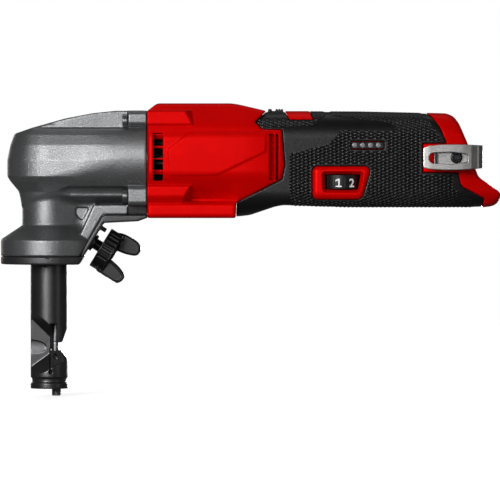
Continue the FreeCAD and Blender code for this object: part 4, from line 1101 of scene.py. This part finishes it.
# name, place, width and height in metres, and power in watts; all face the object's middle
LIGHTS = [
    ("Key", (-0.49, -1.31, 0.33), 0.66, 0.40, 17),
    ("Front", (0.10, -1.6, 0.12), 0.6, 0.14, 1),
    ("Top", (0.12, 0.30, 1.05), 0.9, 0.4, 1.3),
    ("Right_fill", (1.1, -0.7, 0.25), 0.3, 0.6, 0.7),
    ("Back_fill", (0.25, 1.35, 0), 0.7, 0.10, 12),
    ("Left_back", (-0.5, 1.3, 0.15), 0.4, 0.4, 1),
    ("Right_back", (0.75, 1.3, 0.15), 0.4, 0.4, 1.2),
]
FLOOR_GAP = 0.0003
FLOOR_REACH = 3
FLOOR_SIDES = 64
FLOOR_FADE = (0.25, 1.4)


def surroundings():
    """White all round, bright to the camera and faint as light."""
    world = bpy.data.worlds.new("Studio")
    bpy.context.scene.world = world
    world.use_nodes = True
    nodes, links = world.node_tree.nodes, world.node_tree.links
    pick = nodes.new("ShaderNodeMixShader")
    links.new(nodes.new("ShaderNodeLightPath").outputs["Is Camera Ray"], pick.inputs["Fac"])
    skies = (nodes["Background"], SKY_LIGHT), (nodes.new("ShaderNodeBackground"), BACKDROP)
    for place, (sky, strength) in enumerate(skies):
        set_inputs(sky, {"Color": WHITE, "Strength": strength})
        links.new(sky.outputs["Background"], pick.inputs[place + 1])
    links.new(pick.outputs["Shader"], nodes["World Output"].inputs["Surface"])


def softbox(name, at, width, height, power):
    lamp = bpy.data.lights.new(name, "AREA")
    lamp.shape, lamp.size, lamp.size_y, lamp.energy = "RECTANGLE", width, height, power
    obj = placed_object(name, lamp)
    obj.location = at
    obj.rotation_euler = ((cad_low + cad_high) / 2 - Vector(at)).to_track_quat("-Z", "Y").to_euler()
    obj.visible_camera = False


def floor_finish():
    """Matt white that fades out with distance, and that can't be seen from below."""
    pale = bpy.data.materials.new("Pale_floor")
    pale.use_nodes = True
    nodes, links = pale.node_tree.nodes, pale.node_tree.links
    matt = nodes["Principled BSDF"]
    set_inputs(matt, {"Base Color": (0.80, 0.80, 0.80, 1), "Roughness": 0.9, "Specular IOR Level": 0.1,
                      "Emission Color": WHITE, "Emission Strength": 0.62})
    away = nodes.new("ShaderNodeVectorMath")
    away.operation = "LENGTH"
    links.new(nodes.new("ShaderNodeTexCoord").outputs["Object"], away.inputs[0])
    fade = nodes.new("ShaderNodeMapRange")
    fade.interpolation_type = "SMOOTHSTEP"
    set_inputs(fade, {"From Min": FLOOR_FADE[0], "From Max": FLOOR_FADE[1], "To Min": 1, "To Max": 0.0})
    links.new(away.outputs["Value"], fade.inputs["Value"])
    from_above = nodes.new("ShaderNodeMath")
    from_above.operation = "SUBTRACT"
    from_above.inputs[0].default_value = 1
    links.new(nodes.new("ShaderNodeNewGeometry").outputs["Backfacing"], from_above.inputs[1])
    shown = nodes.new("ShaderNodeMath")
    shown.operation = "MULTIPLY"
    links.new(fade.outputs["Result"], shown.inputs[0])
    links.new(from_above.outputs["Value"], shown.inputs[1])
    links.new(shown.outputs["Value"], matt.inputs["Alpha"])
    return pale


surroundings()
for light in LIGHTS:
    softbox(*light)

floor_mesh = bpy.data.meshes.new("Floor")
corners = [2 * math.pi * i / FLOOR_SIDES for i in range(FLOOR_SIDES)]
floor_mesh.from_pydata([(FLOOR_REACH * math.cos(a), FLOOR_REACH * math.sin(a), cad_low.z - FLOOR_GAP)
                        for a in corners], [], [range(FLOOR_SIDES)])
floor_mesh.materials.append(floor_finish())
floor = placed_object("Floor", floor_mesh)
floor.visible_diffuse = False
floor.visible_glossy = False

CAMERA_ELEVATION = math.radians(1)
CAMERA_DISTANCE = 4
CAMERA_TARGET = Vector((0.1044, 0, 0.0073))
SENSOR_WIDTH = 36
VIEW_WIDTH = 0.26
camera_data = bpy.data.cameras.new("Camera")
camera_data.sensor_width = SENSOR_WIDTH
camera_data.lens = SENSOR_WIDTH * CAMERA_DISTANCE / VIEW_WIDTH
camera = placed_object("Camera", camera_data)
back = Vector((0, -math.cos(CAMERA_ELEVATION), math.sin(CAMERA_ELEVATION)))
camera.location = CAMERA_TARGET + back * CAMERA_DISTANCE
camera.rotation_euler = (-back).to_track_quat("-Z", "Y").to_euler()
bpy.context.scene.camera = camera
bpy.context.scene.view_settings.view_transform = "Standard"
